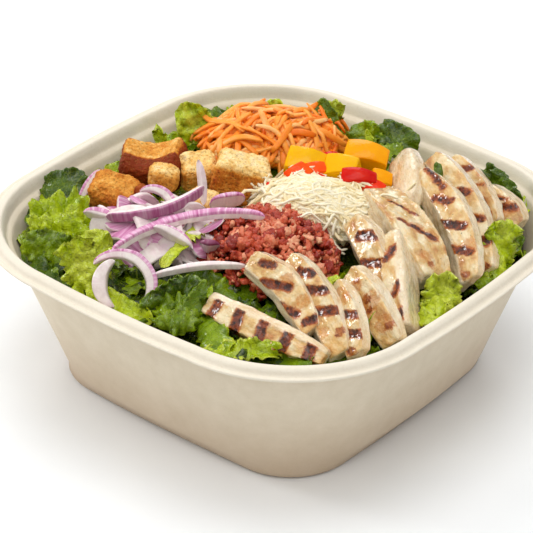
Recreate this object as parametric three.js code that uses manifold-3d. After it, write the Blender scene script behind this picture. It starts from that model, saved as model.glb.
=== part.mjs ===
// Grilled chicken salad in a square moulded-fibre takeaway bowl, millimetres, +Z up.
// The origin is the centre of the bowl's base, and the bowl's sides lie along X and Y.
import * as THREE from 'three';
import { mergeVertices } from 'three/addons/utils/BufferGeometryUtils.js';
import Module from 'manifold-3d';

const wasm = await Module();
wasm.setup();

// ---------- driving dimensions ----------

const gap = 0.3;              // clearance kept to the bowl
const pressGap = 0.4;         // clearance where one piece presses into another

const bowlHeight = 74.8;      // base to the crest of the rim
const sideBulge = 1.6;        // how far each straight side bows outward
const fibre = 1.3;            // thickness of the moulded fibre
const bowlSteps = 32;         // facets round the bowl, a multiple of four
const sideShare = 0.2;        // share of each quarter turn that is straight side, at either end
const leastCorner = 0.38;     // smallest corner radius of any section, as a share of its half width

// Outline of the bowl's outer skin at four heights: half the width, and the corner radius.
const outlines = [
  { z: 0, half: 73.4, corner: 29 },
  { z: 1.2, half: 74.6, corner: 30 },
  { z: 9.6, half: 81.2, corner: 50 },
  { z: 66.0, half: 98.0, corner: 54 },
  { z: 74.8, half: 110.0, corner: 66.9 },
];

// Rim section: inset from the lip's edge, and drop below the crest, from the lip inward.
const rimTop = [[0, 2.7], [2.4, 2.9], [3.6, 1], [5, 0.1], [6.6, 0], [8, 0.8], [9.9, 5.4], [11.2, 6.6]];
const rimUnder = [[11.9, 8.9], [9.2, 7.6], [7.2, 2.2], [4.8, 2], [3.4, 4], [0.8, 4.1]];

// Down the inside of the wall: height, and how far the ledge under the rim stands in there.
const innerWall = [[66.6, 0.6], [40, 0], [10.4, 0], [3.4, 0]];
const floorThickness = 1.6;
const floorBend = 4;          // how far inside the base's outline the inner floor is flat

const saladEdge = 60;         // height of the lettuce where it meets the wall
const saladRise = 8;          // how much higher the lettuce lies in the middle
const ruffle = 2.4;           // height of the lettuce's folds
const ruffleWidth = 11;       // width of one fold
const lettuceRings = 5;       // rings of points over the lettuce's top
const lettuceHeights = [4.5, 11, saladEdge - 3];   // points up the lettuce's side

const stripRounding = 0.36;   // edge radius of a chicken strip, as a share of its thinner side
const stripUneven = 0.05;     // how far its faces wander, as a share of its width
const fibreBump = 14;         // length of one such bump along the meat
const croutonUneven = 0.06;   // how far a crouton's faces wander, as a share of its size
const crumbBump = 11;         // width of one such bump
const pepperRounding = 0.3;   // edge radius of a pepper piece, as a share of its thickness
const pepperTaper = 0.12;     // how much narrower its far end is
const arcStep = 0.42;         // radians between the points of an onion arc
const arcTip = 0.12;          // how full an onion layer still is at its ends, as a share of a half turn
const heapUnderside = 0.7;    // how deep a heap reaches below its middle, as a share of its height
const heapRound = [12, 7];    // facets round a heap and up it
const leafThickness = 1.4;    // a leaf with its veins and folds
const leafFacets = [4, 3];    // facets along and across a leaf
const leafRuffle = 0.9;       // how far a leaf's edge waves
const leafWave = 4;           // radians of that wave along half the leaf

const palette = {
  fibre: 0xd9cdb9, lettuce: 0x6f9a2c, carrot: 0xf08a2c, cheese: 0xf1ead2, bacon: 0xa8483a,
  chicken: 0xe6d3b1, crust: 0xb9712f, yellow: 0xf2b90f, red: 0xd6281e, orange: 0xee7420, onion: 0xd9a9c6,
};

// Soft leafy lumps in the lettuce: place, height above the salad's dome, and spread.
const leafLumps = [
  { x: -70, y: 34, up: 10, spread: 12 }, { x: -58, y: 66, up: 10, spread: 10 },
  { x: -40, y: 80, up: 9, spread: 12 }, { x: -6, y: 80, up: 9, spread: 12 },
  { x: 56, y: 84, up: 8, spread: 10 }, { x: 84, y: 50, up: 8, spread: 12 },
  { x: 88, y: -2, up: 6, spread: 11 }, { x: 22, y: -82, up: 4, spread: 14 },
  { x: -12, y: -74, up: 3, spread: 12 }, { x: -46, y: -78, up: 6, spread: 11 },
  { x: -66, y: -62, up: 5, spread: 12 }, { x: -82, y: -44, up: 7, spread: 11 },
];

// Larger romaine leaves, topmost first. size is length and width; turn is the heading, pitch and
// roll; spin turns a leaf in its own plane; curl and cup bend it along and across, in degrees;
// point is how much narrower its far end is.
const leaves = [
  { at: [-69, 31, 77], size: [34, 25], turn: [129, 76, 0], spin: 30, curl: -14, cup: 24, point: 0.3 },
  { at: [-31, 76, 79], size: [18, 13], turn: [129, 74, 0], spin: -8, curl: 10, cup: 30, point: 0 },
  { at: [-32, 69, 77], size: [26, 24], turn: [129, 66, 0], spin: 12, curl: 6, cup: 24, point: 0.5 },
  { at: [2, 83, 77], size: [22, 15], turn: [20, 0, 50], spin: -12, curl: -16, cup: 20, point: 0 },
  { at: [-67, -64, 76], size: [31, 29], turn: [39, 0, 24], spin: 0, curl: -46, cup: -50, point: 0 },
  { at: [-33, -86, 74], size: [28, 23], turn: [129, 58, 0], spin: 16, curl: 26, cup: -64, point: 0 },
  { at: [9, -80, 72], size: [33, 18], turn: [39, 0, 52], spin: 24, curl: -30, cup: 30, point: 0 },
  { at: [92, -5, 71], size: [25, 21], turn: [129, 46, 0], spin: 0, curl: 56, cup: -30, point: 0 },
  { at: [94, 38, 75], size: [28, 26], turn: [129, 50, 0], spin: -10, curl: 50, cup: -36, point: 0 },
  { at: [61, 78, 76], size: [31, 14], turn: [-16, -6, 44], spin: 0, curl: -30, cup: 20, point: 0 },
];

// Heaps of fine toppings: centre, half sizes, turn about Z and a seed for their lumps.
const heapUneven = 0.11;
const heaps = [
  { name: 'bacon_crumbles', colour: 'bacon', at: [17, -25, 70], half: [31, 25, 17], turn: 10, seed: 3 },
  { name: 'shredded_cheese', colour: 'cheese', at: [13, 9, 74], half: [27, 19, 16], turn: 30, seed: 5 },
  { name: 'carrot_shreds', colour: 'carrot', at: [-41, 46, 69], half: [33, 21, 19], turn: 38, seed: 8 },
  { name: 'onion_petals', colour: 'onion', at: [-28, -42, 70], half: [33, 20, 14], turn: 30, seed: 2 },
];

// Grilled chicken strips, in the order they overlap, topmost first.
// size is length, width across the seared face, and depth; turn, dip and lean are degrees
// about Z, about the strip's width and about its length; ends are the end sections' scale;
// arch and bow are how far the middle stands up and sideways.
const strips = [
  { at: [50, -67, 68], size: [59, 14, 13], turn: 4, dip: 4, lean: 42, arch: 2, ends: [0.85, 0.55], bow: -1 },
  { at: [44, -51, 74], size: [46, 12, 18], turn: -14, dip: 17, lean: -25, arch: 3, ends: [0.7, 0.7], bow: 2 },
  { at: [58, -49, 73], size: [53, 12, 18], turn: -24, dip: 20, lean: -25, arch: 3, ends: [0.75, 0.8], bow: 1 },
  { at: [73, -46, 72], size: [38, 11, 16], turn: -36, dip: 18, lean: -18, arch: 2, ends: [0.75, 0.8] },
  { at: [76, -33, 72], size: [40, 12, 16], turn: -20, dip: 22, lean: -15, arch: 2, ends: [0.8, 0.7] },
  { at: [57, -10, 74], size: [50, 12, 18], turn: -33, dip: 22, lean: -20, arch: 4, ends: [0.7, 0.8] },
  { at: [75, -11, 74], size: [52, 12, 18], turn: -48, dip: 20, lean: 28, arch: 2, ends: [0.6, 0.85] },
  { at: [56, 16, 76], size: [57, 21, 17], turn: -24, dip: 14, lean: -12, arch: 3, ends: [0.7, 0.7] },
  { at: [31, 50, 78], size: [44, 13, 20], turn: -50, dip: 4, lean: -34, arch: 2, ends: [0.7, 0.7] },
  { at: [64, 32, 77], size: [69, 11, 20], turn: -34, dip: 14, lean: -34, arch: 4, ends: [0.6, 0.7], bow: 2 },
  { at: [61, 46, 75], size: [74, 12, 19], turn: -34, dip: 13, lean: -32, arch: 4, ends: [0.7, 0.7], bow: 2 },
  { at: [55, 65, 75], size: [47, 11, 17], turn: -30, dip: 10, lean: -30, arch: 2, ends: [0.7, 0.7] },
  { at: [70, 67, 73], size: [28, 12, 14], turn: -16, dip: 10, lean: -20, arch: 1, ends: [0.8, 0.7] },
];

// Toasted bread cubes: size, turn about X, Y and Z, edge rounding, and a dished top if any.
const croutons = [
  { at: [-64, -8, 79], size: [31, 24, 21], turn: [8, -6, 30], round: 6, dish: 5, seed: 1 },
  { at: [-61, -37, 77], size: [23, 19, 17], turn: [14, 10, 20], round: 6, dish: 0, seed: 2 },
  { at: [-49, -18, 82], size: [14, 13, 12], turn: [0, 10, 35], round: 5, dish: 0, seed: 3 },
  { at: [-44, -1, 79], size: [18, 17, 15], turn: [10, 0, 50], round: 4, dish: 0, seed: 4 },
  { at: [-25, 5, 80], size: [26, 22, 20], turn: [-6, 12, 36], round: 4, dish: 0, seed: 5 },
  { at: [-26, -18, 78], size: [15, 12, 10], turn: [12, 0, 10], round: 4, dish: 0, seed: 6 },
  { at: [-49, -32, 80], size: [8, 7, 6], turn: [0, 20, 10], round: 2, dish: 0, seed: 7 },
];

// Diced bell pepper: size, turn, the curl of the fruit's wall, and its colour.
const peppers = [
  { at: [-8, 29, 83], size: [20, 14, 8], turn: [20, 10, 36], curl: 3, colour: 'yellow' },
  { at: [8, 35, 83], size: [18, 14, 8], turn: [16, -8, 20], curl: 3, colour: 'yellow' },
  { at: [7, 53, 81], size: [21, 14, 8], turn: [14, 8, 30], curl: 5, colour: 'yellow' },
  { at: [23, 42, 80], size: [12, 10, 7], turn: [24, 20, 50], curl: 2, colour: 'yellow' },
  { at: [-2, 17, 85], size: [12, 10, 6], turn: [30, -20, 80], curl: 2, colour: 'orange' },
  { at: [18, 33, 82], size: [17, 10, 8], turn: [18, 6, 40], curl: 4, colour: 'red' },
  { at: [-3, 41, 81], size: [9, 8, 6], turn: [10, 0, 60], curl: 2, colour: 'red' },
  { at: [3, 20, 82], size: [13, 8, 6], turn: [10, 12, 40], curl: 2, colour: 'red' },
  { at: [-8, 7, 80], size: [9, 7, 6], turn: [0, 20, 20], curl: 1, colour: 'red' },
  { at: [0, 26, 83], size: [11, 9, 6], turn: [16, 0, 60], curl: 2, colour: 'orange' },
  { at: [25, 35, 80], size: [12, 8, 6], turn: [14, 10, 20], curl: 2, colour: 'orange' },
];

// Red onion slices: each is an arc of one onion layer; sweep is its angle in degrees.
const onionArcs = [
  { at: [-13, -85, 73], radius: 15, layer: 5, width: 4, sweep: [-85, 142], turn: [50, 0, 39], warp: 0 },
  { at: [-13, -88, 75], radius: 10, layer: 6, width: 6, sweep: [95, 265], turn: [55, 0, 39], warp: 0 },
  { at: [16, -68, 85], radius: 43, layer: 4, width: 4, sweep: [42, 141], turn: [0, -7, 51], warp: 1 },
  { at: [-56, -29, 88], radius: 36, layer: 4, width: 5, sweep: [242, 318], turn: [5, -8, 50], warp: 1 },
  { at: [-33, -42, 83], radius: 10, layer: 4, width: 5, sweep: [-60, 130], turn: [55, 0, 39], warp: 0 },
  { at: [-38, -48, 91], radius: 31, layer: 3, width: 5, sweep: [-19, 18], turn: [70, 0, 60], warp: 0 },
  { at: [1, -28, 80], radius: 17, layer: 3, width: 8, sweep: [62, 118], turn: [20, 0, 58], warp: 0 },
  { at: [-57, -34, 70], radius: 21, layer: 4, width: 5, sweep: [125, 180], turn: [58, 0, 39], warp: 0 },
  { at: [-45, -68, 74], radius: 14, layer: 4, width: 8, sweep: [42, 108], turn: [40, 0, 39], warp: 0 },
  { at: [-31, -58, 74], radius: 16, layer: 4, width: 8, sweep: [60, 140], turn: [40, 0, 39], warp: 0 },
  { at: [-12, -65, 74], radius: 17, layer: 4, width: 7, sweep: [25, 95], turn: [40, 0, 39], warp: 0 },
  { at: [8, -60, 67], radius: 21, layer: 5, width: 10, sweep: [68, 92], turn: [40, 0, 39], warp: 0 },
  { at: [34, -85, 71], radius: 42, layer: 3, width: 3, sweep: [62, 118], turn: [8, -4, 46], warp: 0 },
];

// ---------- shape helpers ----------

const degrees = THREE.MathUtils.degToRad;
const mix = THREE.MathUtils.lerp;

// A smooth uneven value between about -1 and 1, with bumps roughly `size` mm across.
function uneven(x, y, z, size, seed) {
  const k = Math.PI / size;
  const a = Math.sin(k * x + 1.7 * seed) * Math.cos(k * y - 2.3 * seed);
  const b = Math.sin(k * 1.3 * z + seed + k * 0.6 * y) * Math.cos(k * 0.8 * x + 0.9 * seed);
  return 0.6 * a + 0.4 * b;
}

// Moves every vertex of a geometry by a function, and welds it into a closed shell.
function reshape(geometry, move) {
  geometry.deleteAttribute('uv');
  geometry.deleteAttribute('normal');
  const position = geometry.attributes.position;
  const point = new THREE.Vector3();
  for (let i = 0; i < position.count; i += 1) {
    point.fromBufferAttribute(position, i);
    move(point);
    position.setXYZ(i, point.x, point.y, point.z);
  }
  return mergeVertices(geometry, 1e-4);
}

function toSolid(geometry) {
  const vertProperties = Float32Array.from(geometry.attributes.position.array);
  const triVerts = Uint32Array.from(geometry.index.array);
  const mesh = new wasm.Mesh({ numProp: 3, vertProperties, triVerts });
  mesh.merge();
  return new wasm.Manifold(mesh);
}

// The biggest single body of a solid: crumbs that a cut leaves are dropped.
function mainBody(solid) {
  let best = null;
  for (const body of solid.decompose()) {
    if (best === null || body.volume() > best.volume()) {
      best = body;
    }
  }
  return best;
}

function toMesh(name, solid, colour, roughness) {
  const data = solid.getMesh();
  const geometry = new THREE.BufferGeometry();
  geometry.setAttribute('position', new THREE.BufferAttribute(data.vertProperties.slice(), 3));
  geometry.setIndex(new THREE.BufferAttribute(data.triVerts.slice(), 1));
  geometry.computeVertexNormals();
  const material = new THREE.MeshStandardMaterial({ color: colour, roughness, metalness: 0 });
  const mesh = new THREE.Mesh(geometry, material);
  mesh.name = name;
  return mesh;
}

// ---------- bowl ----------

// Half width and corner radius of the bowl's outer skin at a height.
function outlineAt(z) {
  for (let i = 1; i < outlines.length; i += 1) {
    const low = outlines[i - 1];
    const high = outlines[i];
    if (z <= high.z) {
      const t = (z - low.z) / (high.z - low.z);
      return { half: mix(low.half, high.half, t), corner: mix(low.corner, high.corner, t) };
    }
  }
  return outlines[outlines.length - 1];
}

// Point on a square with rounded corners and bowed sides, at an angle round it.
function squarePoint(half, corner, angle) {
  const quarter = Math.PI / 2;
  const turns = Math.floor(angle / quarter + 1e-9);
  const share = angle / quarter - turns;
  const bulge = (sideBulge * half) / outlines[4].half;
  const straight = half - bulge - corner;
  let x = 0;
  let y = 0;
  if (share < sideShare || share > 1 - sideShare) {
    const along = share < sideShare ? share / sideShare : (1 - share) / sideShare;
    const across = half - bulge + bulge * (1 - along * along);
    x = share < sideShare ? across : along * straight;
    y = share < sideShare ? along * straight : across;
  } else {
    const bend = ((share - sideShare) / (1 - 2 * sideShare)) * quarter;
    x = straight + corner * Math.cos(bend);
    y = straight + corner * Math.sin(bend);
  }
  const c = Math.cos(turns * quarter);
  const s = Math.sin(turns * quarter);
  return [x * c - y * s, x * s + y * c];
}

// Turns a round lathe into the bowl's square form: r is the half width at each point.
function squareLathe(profile, steps, shape) {
  const points = profile.map(([r, z]) => new THREE.Vector2(Math.max(r, 0), z));
  const lathe = new THREE.LatheGeometry(points, steps);
  return reshape(lathe, (p) => {
    const r = Math.hypot(p.x, p.z);
    const angle = (Math.atan2(p.x, p.z) + 4 * Math.PI) % (2 * Math.PI);
    const z = p.y;
    const skin = shape(z);
    const corner = Math.max(skin.corner - (skin.half - r), r * leastCorner);
    const [x, y] = r < 1e-6 ? [0, 0] : squarePoint(r, corner, angle);
    p.set(x, y, z);
  });
}

function wallInset(z) {
  return outlineAt(z).half - fibre;
}

function bowlProfile() {
  const lip = outlines[4].half;
  const profile = [[0, 0]];
  for (const { z, half } of outlines.slice(0, 4)) {
    profile.push([half, z]);
  }
  for (const [inset, drop] of rimUnder) {
    profile.push([lip - inset, bowlHeight - drop]);
  }
  for (const [inset, drop] of rimTop) {
    profile.push([lip - inset, bowlHeight - drop]);
  }
  for (const [z, ledge] of innerWall) {
    profile.push([wallInset(z) - ledge, z]);
  }
  profile.push([outlines[1].half - floorBend, floorThickness]);
  profile.push([0, floorThickness]);
  return profile;
}

function skinShape(z) {
  return outlineAt(Math.min(z, bowlHeight));
}

function makeBowl() {
  return toSolid(squareLathe(bowlProfile(), bowlSteps, skinShape));
}

// ---------- food ----------

// Places a piece: turned about its own X, then Y, then Z, and moved to its centre.
function placing(at, turn) {
  const [x, y, z] = turn.map(degrees);
  const matrix = new THREE.Matrix4().makeRotationFromEuler(new THREE.Euler(x, y, z, 'ZYX'));
  return matrix.setPosition(...at);
}

// A block with rounded edges, a chosen number of facets a side.
function roundedBlock(size, radius, facets, grow) {
  const [length, width, depth] = size.map((side) => side + 2 * grow);
  const block = new THREE.BoxGeometry(length, width, depth, ...facets);
  const inner = new THREE.Vector3(length / 2 - radius, width / 2 - radius, depth / 2 - radius);
  const low = inner.clone().negate();
  return reshape(block, (p) => {
    const core = p.clone().clamp(low, inner);
    const out = p.clone().sub(core);
    if (out.length() > 1e-6) {
      p.copy(core).addScaledVector(out, radius / out.length());
    }
  });
}

function makeStrip(strip, grow) {
  const [length, width, depth] = strip.size;
  const radius = Math.min(width, depth) * stripRounding;
  const block = roundedBlock(strip.size, radius, [5, 2, 2], grow);
  const bow = strip.bow ?? 0;
  const seed = strip.at[0];
  const shaped = reshape(block, (p) => {
    const along = (2 * p.x) / length;
    const end = along < 0 ? strip.ends[0] : strip.ends[1];
    const scale = 1 - (1 - end) * along * along;
    p.y = p.y * scale + bow * (1 - along * along);
    p.z = p.z * scale + strip.arch * (1 - along * along);
    p.y += stripUneven * width * uneven(p.x, 0, 0, fibreBump, seed);
    p.z += stripUneven * depth * uneven(p.x, p.y, 0, fibreBump, seed + 2);
  });
  shaped.applyMatrix4(placing(strip.at, [strip.lean, strip.dip, strip.turn]));
  return toSolid(shaped);
}

function makeCrouton(crouton, grow) {
  const [length, , depth] = crouton.size;
  const block = roundedBlock(crouton.size, crouton.round, [2, 2, 2], grow);
  const shaped = reshape(block, (p) => {
    const along = (2 * p.x) / length;
    if (p.z > 0) {
      p.z -= crouton.dish * Math.max(0, 1 - 1.5 * along * along) * (p.z / (depth / 2));
    }
    const bump = 1 + croutonUneven * uneven(p.x, p.y, p.z, crumbBump, crouton.seed);
    p.multiplyScalar(bump);
  });
  shaped.applyMatrix4(placing(crouton.at, crouton.turn));
  return toSolid(shaped);
}

function makePepper(pepper, grow) {
  const [length, width] = pepper.size;
  const radius = pepper.size[2] * pepperRounding;
  const block = roundedBlock(pepper.size, radius, [2, 2, 1], grow);
  const shaped = reshape(block, (p) => {
    const along = (2 * p.x) / length;
    const across = (2 * p.y) / width;
    p.z += pepper.curl * (0.6 - along * along - 0.4 * across * across);
    p.y *= 1 - pepperTaper * along;
  });
  shaped.applyMatrix4(placing(pepper.at, pepper.turn));
  return toSolid(shaped);
}

function makeOnionArc(arc, grow) {
  const [from, to] = arc.sweep.map(degrees);
  const outline = new THREE.Shape();
  const steps = Math.ceil((to - from) / arcStep);
  for (let i = 0; i <= steps; i += 1) {
    const angle = mix(from, to, i / steps);
    const r = arc.radius + grow;
    outline[i === 0 ? 'moveTo' : 'lineTo'](r * Math.cos(angle), r * Math.sin(angle));
  }
  for (let i = steps; i >= 0; i -= 1) {
    const angle = mix(from, to, i / steps);
    const full = Math.sin(Math.PI * mix(arcTip, 1 - arcTip, i / steps));
    const r = arc.radius - arc.layer * full - grow;
    outline.lineTo(r * Math.cos(angle), r * Math.sin(angle));
  }
  outline.closePath();
  const depth = arc.width + 2 * grow;
  const slab = new THREE.ExtrudeGeometry(outline, { depth, bevelEnabled: false, steps: 1 });
  slab.translate(0, 0, -depth / 2);
  const shaped = reshape(slab, (p) => {
    p.z += arc.warp * (p.x / arc.radius) * (p.y / arc.radius);
  });
  shaped.applyMatrix4(placing(arc.at, arc.turn));
  return toSolid(shaped);
}

function makeHeap(heap, grow) {
  const ball = new THREE.SphereGeometry(1, ...heapRound);
  const [a, b, c] = heap.half.map((half) => half + grow);
  const shaped = reshape(ball, (p) => {
    const lump = 1 + heapUneven * uneven(p.x, p.y, p.z, 2 / 3, heap.seed);
    const flat = p.z < 0 ? heapUnderside : 1;
    p.set(p.x * a * lump, p.y * b * lump, p.z * c * lump * flat);
  });
  shaped.applyMatrix4(placing(heap.at, [0, 0, heap.turn]));
  return toSolid(shaped);
}

// Draws a point inside the bowl's wall, square corners and all.
function keepInside(p) {
  const skin = outlineAt(Math.min(Math.max(p.z, 0), outlines[3].z));
  const half = skin.half - fibre - 2 * gap - sideBulge;
  const core = half - skin.corner;
  const x = Math.max(Math.abs(p.x) - core, 0);
  const y = Math.max(Math.abs(p.y) - core, 0);
  const reach = Math.hypot(x, y);
  if (reach > skin.corner) {
    p.x -= Math.sign(p.x) * x * (1 - skin.corner / reach);
    p.y -= Math.sign(p.y) * y * (1 - skin.corner / reach);
  }
}

// Bends a point about the origin so that an axis of the leaf runs along an arc.
function bendAlong(p, axis, bend) {
  const angle = p[axis] * bend;
  const reach = 1 / bend - p.z;
  p[axis] = reach * Math.sin(angle);
  p.z = 1 / bend - reach * Math.cos(angle);
}

function makeLeaf(leaf, grow) {
  const [length, width] = leaf.size;
  const thick = leafThickness + 2 * grow;
  const slab = new THREE.BoxGeometry(2, 2, thick, ...leafFacets, 1);
  const [heading, pitch, roll] = leaf.turn.map(degrees);
  const matrix = new THREE.Matrix4();
  matrix.makeRotationFromEuler(new THREE.Euler(roll, -pitch, heading, 'ZYX'));
  matrix.multiply(new THREE.Matrix4().makeRotationZ(degrees(leaf.spin)));
  matrix.setPosition(...leaf.at);
  return toSolid(reshape(slab, (p) => {
    const { x: along, y: across } = p;
    p.x = along * Math.sqrt(1 - 0.4 * across * across) * (length / 2 + grow);
    p.y = across * Math.sqrt(1 - 0.4 * along * along) * (width / 2 + grow);
    p.y *= 1 - (leaf.point * (along + 1)) / 2;
    p.z += leafRuffle * across * across * Math.sin(leafWave * along);
    bendAlong(p, 'y', degrees(leaf.cup) / width);
    bendAlong(p, 'x', degrees(leaf.curl) / length);
    p.applyMatrix4(matrix);
    keepInside(p);
  }));
}

// Height of the lettuce at a place: a dome, with leafy lumps and ruffles.
function saladTop(x, y, share) {
  let z = saladEdge + saladRise * (1 - share * share);
  for (const lump of leafLumps) {
    const near = ((x - lump.x) ** 2 + (y - lump.y) ** 2) / lump.spread ** 2;
    z += lump.up * Math.exp(-near) * (1 - 0.6 * share ** 6);
  }
  return z + ruffle * uneven(x, y, 0, ruffleWidth, 4) * share;
}

function makeLettuce() {
  const topMark = 200;        // marks the points of the top until their height is set
  const reach = (z) => wallInset(z) - 2 * gap;
  const profile = [[0, floorThickness + gap]];
  profile.push([outlines[1].half - floorBend - 1, floorThickness + gap]);
  for (const z of lettuceHeights) {
    profile.push([reach(z), z]);
  }
  for (let i = lettuceRings; i >= 0; i -= 1) {
    profile.push([(reach(saladEdge) * i) / lettuceRings, topMark + i]);
  }
  const body = squareLathe(profile, bowlSteps, (z) => skinShape(z >= topMark ? saladEdge : z));
  return toSolid(reshape(body, (p) => {
    if (p.z >= topMark) {
      p.z = saladTop(p.x, p.y, (p.z - topMark) / lettuceRings);
    }
  }));
}

// ---------- assembly ----------

// Every loose piece, topmost first, with a maker that can also give a slightly larger copy.
function loosePieces() {
  const pieces = [];
  const addAll = (list, name, colour, maker) => {
    list.forEach((item, i) => {
      const make = (grow) => maker(item, grow);
      pieces.push({ name: `${name}_${i + 1}`, colour: item.colour ?? colour, make });
    });
  };
  addAll(strips, 'chicken_strip', 'chicken', makeStrip);
  addAll(onionArcs, 'onion_slice', 'onion', makeOnionArc);
  addAll(croutons, 'crouton', 'crust', makeCrouton);
  addAll(peppers, 'pepper', 'yellow', makePepper);
  for (const heap of heaps) {
    pieces.push({ name: heap.name, colour: heap.colour, make: (grow) => makeHeap(heap, grow) });
  }
  addAll(leaves, 'romaine_leaf', 'lettuce', makeLeaf);
  pieces.push({ name: 'lettuce_bed', colour: 'lettuce', make: () => makeLettuce() });
  return pieces;
}

const salad = new THREE.Group();
const bowl = makeBowl();
salad.add(toMesh('bowl', bowl, palette.fibre, 0.85));

const above = [];
for (const piece of loosePieces()) {
  let solid = piece.make(0);
  for (const cutter of above) {
    solid = solid.subtract(cutter);
  }
  above.push(piece.name === 'lettuce_bed' ? solid : piece.make(pressGap));
  salad.add(toMesh(piece.name, mainBody(solid), palette[piece.colour], 0.6));
}

export default salad;
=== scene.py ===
# Grilled chicken salad in a square moulded-fibre bowl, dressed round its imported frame.
import functools
import itertools
import math

import bpy
import numpy as np
from mathutils import Matrix, Vector
from mathutils.bvhtree import BVHTree


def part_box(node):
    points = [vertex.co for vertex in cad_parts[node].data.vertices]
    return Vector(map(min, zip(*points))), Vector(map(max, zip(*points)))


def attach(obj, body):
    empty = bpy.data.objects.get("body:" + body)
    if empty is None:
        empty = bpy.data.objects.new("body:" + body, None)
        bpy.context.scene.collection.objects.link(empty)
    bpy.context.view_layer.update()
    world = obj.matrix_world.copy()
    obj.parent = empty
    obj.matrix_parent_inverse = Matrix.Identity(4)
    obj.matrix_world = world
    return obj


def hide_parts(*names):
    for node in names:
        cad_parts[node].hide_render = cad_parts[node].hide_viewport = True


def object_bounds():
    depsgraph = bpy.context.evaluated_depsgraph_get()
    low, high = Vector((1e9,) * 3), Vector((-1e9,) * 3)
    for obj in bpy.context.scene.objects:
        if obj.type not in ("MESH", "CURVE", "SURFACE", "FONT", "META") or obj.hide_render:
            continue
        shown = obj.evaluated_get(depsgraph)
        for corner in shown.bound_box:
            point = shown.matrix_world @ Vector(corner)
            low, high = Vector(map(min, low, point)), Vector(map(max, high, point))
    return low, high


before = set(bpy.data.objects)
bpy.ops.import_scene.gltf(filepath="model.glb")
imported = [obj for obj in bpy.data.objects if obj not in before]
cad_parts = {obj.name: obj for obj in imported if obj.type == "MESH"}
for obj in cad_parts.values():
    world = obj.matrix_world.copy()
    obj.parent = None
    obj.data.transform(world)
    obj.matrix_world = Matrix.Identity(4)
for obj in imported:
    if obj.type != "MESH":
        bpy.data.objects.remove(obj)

cadLow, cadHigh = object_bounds()
mm = 0.001
upward = np.array([0.0, 0.0, 1.0])


# colour, nodes and materials; a noise node gets its place, scale, detail and roughness, and the scale is
# one over the real size of what it draws

def linear(hexColour):
    values = [int(hexColour[i:i + 2], 16) / 255 for i in (1, 3, 5)]
    return tuple(v / 12.92 if v <= 0.04045 else ((v + 0.055) / 1.055) ** 2.4 for v in values) + (1.0,)


# gives a node its inputs, by name or in their order: values, hex colours or other nodes' outputs
def feed(node, inputs):
    if isinstance(inputs, dict):
        pairs = [(node.inputs[key], value) for key, value in inputs.items()]
    else:
        pairs = zip([socket for socket in node.inputs if socket.enabled], inputs)
    for socket, value in pairs:
        if isinstance(value, bpy.types.NodeSocket):
            node.id_data.links.new(value, socket)
        else:
            socket.default_value = linear(value) if isinstance(value, str) else value


# adds one node with its settings, inputs and, on a ramp, its stops, and gives one of its outputs
def addNode(tree, kind, inputs=(), output=None, stops=(), **settings):
    node = tree.nodes.new("ShaderNode" + kind)
    for key, value in settings.items():
        setattr(node, key, value)
    feed(node, inputs)
    for _ in stops[2:]:
        node.color_ramp.elements.new(0.5)
    for i, (place, shade) in enumerate(stops):
        element = node.color_ramp.elements[i]
        element.position = place
        element.color = linear(shade) if isinstance(shade, str) else (shade, shade, shade, 1)
    return node.outputs[output] if output else [socket for socket in node.outputs if socket.enabled][0]


# a material, the function that adds nodes to it, and its surface shader
def newMaterial(name):
    material = bpy.data.materials.new(name)
    material.use_nodes = True
    shader = material.node_tree.nodes["Principled BSDF"]
    return material, functools.partial(addNode, material.node_tree), shader


# shapes: all lengths below are millimetres until makePiece turns them into metres

def hashed(cells, seed):
    key = cells[:, 0] * 374761393 + cells[:, 1] * 668265263 + cells[:, 2] * 40503 * 65537
    key = key + seed * 1274126177
    key = (key ^ (key >> 13)) & 0xffffffff
    key = (key * 1103515245 + 12345) & 0xffffffff
    key = (key ^ (key >> 15)) * 2246822519 & 0xffffffff
    return key ^ (key >> 13)


# smooth noise from about -1 to 1, with bumps about `size` across
def bumps(points, size, seed):
    place = np.asarray(points, float) / size + 0.37 * seed
    cell = np.floor(place).astype(np.int64)
    part = place - cell
    fade = part ** 3 * (part * (part * 6 - 15) + 10)
    total = np.zeros(len(place))
    for corner in itertools.product((0, 1), repeat=3):
        key = hashed(cell + corner, seed)
        slope = np.stack([(key & 1023), (key >> 10) & 1023, (key >> 20) & 1023], 1) / 511.5 - 1
        weight = np.prod(np.where(corner, fade, 1 - fade), axis=1)
        total += weight * np.sum(slope * (part - corner), axis=1)
    return total * 1.5


def layered(points, size, seed, octaves=3, keep=0.5):
    total = 0
    for octave in range(octaves):
        total = total + keep ** octave * bumps(points, size / 2 ** octave, seed + 11 * octave)
    return total


def smoothStep(value, low, high):
    t = np.clip((value - low) / (high - low), 0, 1)
    return t * t * (3 - 2 * t)


def unit(vectors):
    return vectors / np.maximum(np.linalg.norm(vectors, axis=-1, keepdims=True), 1e-9)


# turns about X, then Y, then Z, in degrees
def turning(aboutX, aboutY, aboutZ):
    total = np.eye(3)
    for axis, degrees in (("X", aboutX), ("Y", aboutY), ("Z", aboutZ)):
        total = np.array(Matrix.Rotation(math.radians(degrees), 3, axis)) @ total
    return total


# quads between neighbours in a table of point numbers
def quadsOf(table):
    return np.stack([table[:-1, :-1], table[1:, :-1], table[1:, 1:], table[:-1, 1:]], -1).reshape(-1, 4)


# faces of a grid of points, rows by columns
def gridFaces(rows, columns, closeColumns=False):
    table = np.arange(rows * columns).reshape(rows, columns)
    return quadsOf(np.hstack([table, table[:, :1]]) if closeColumns else table)


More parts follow.
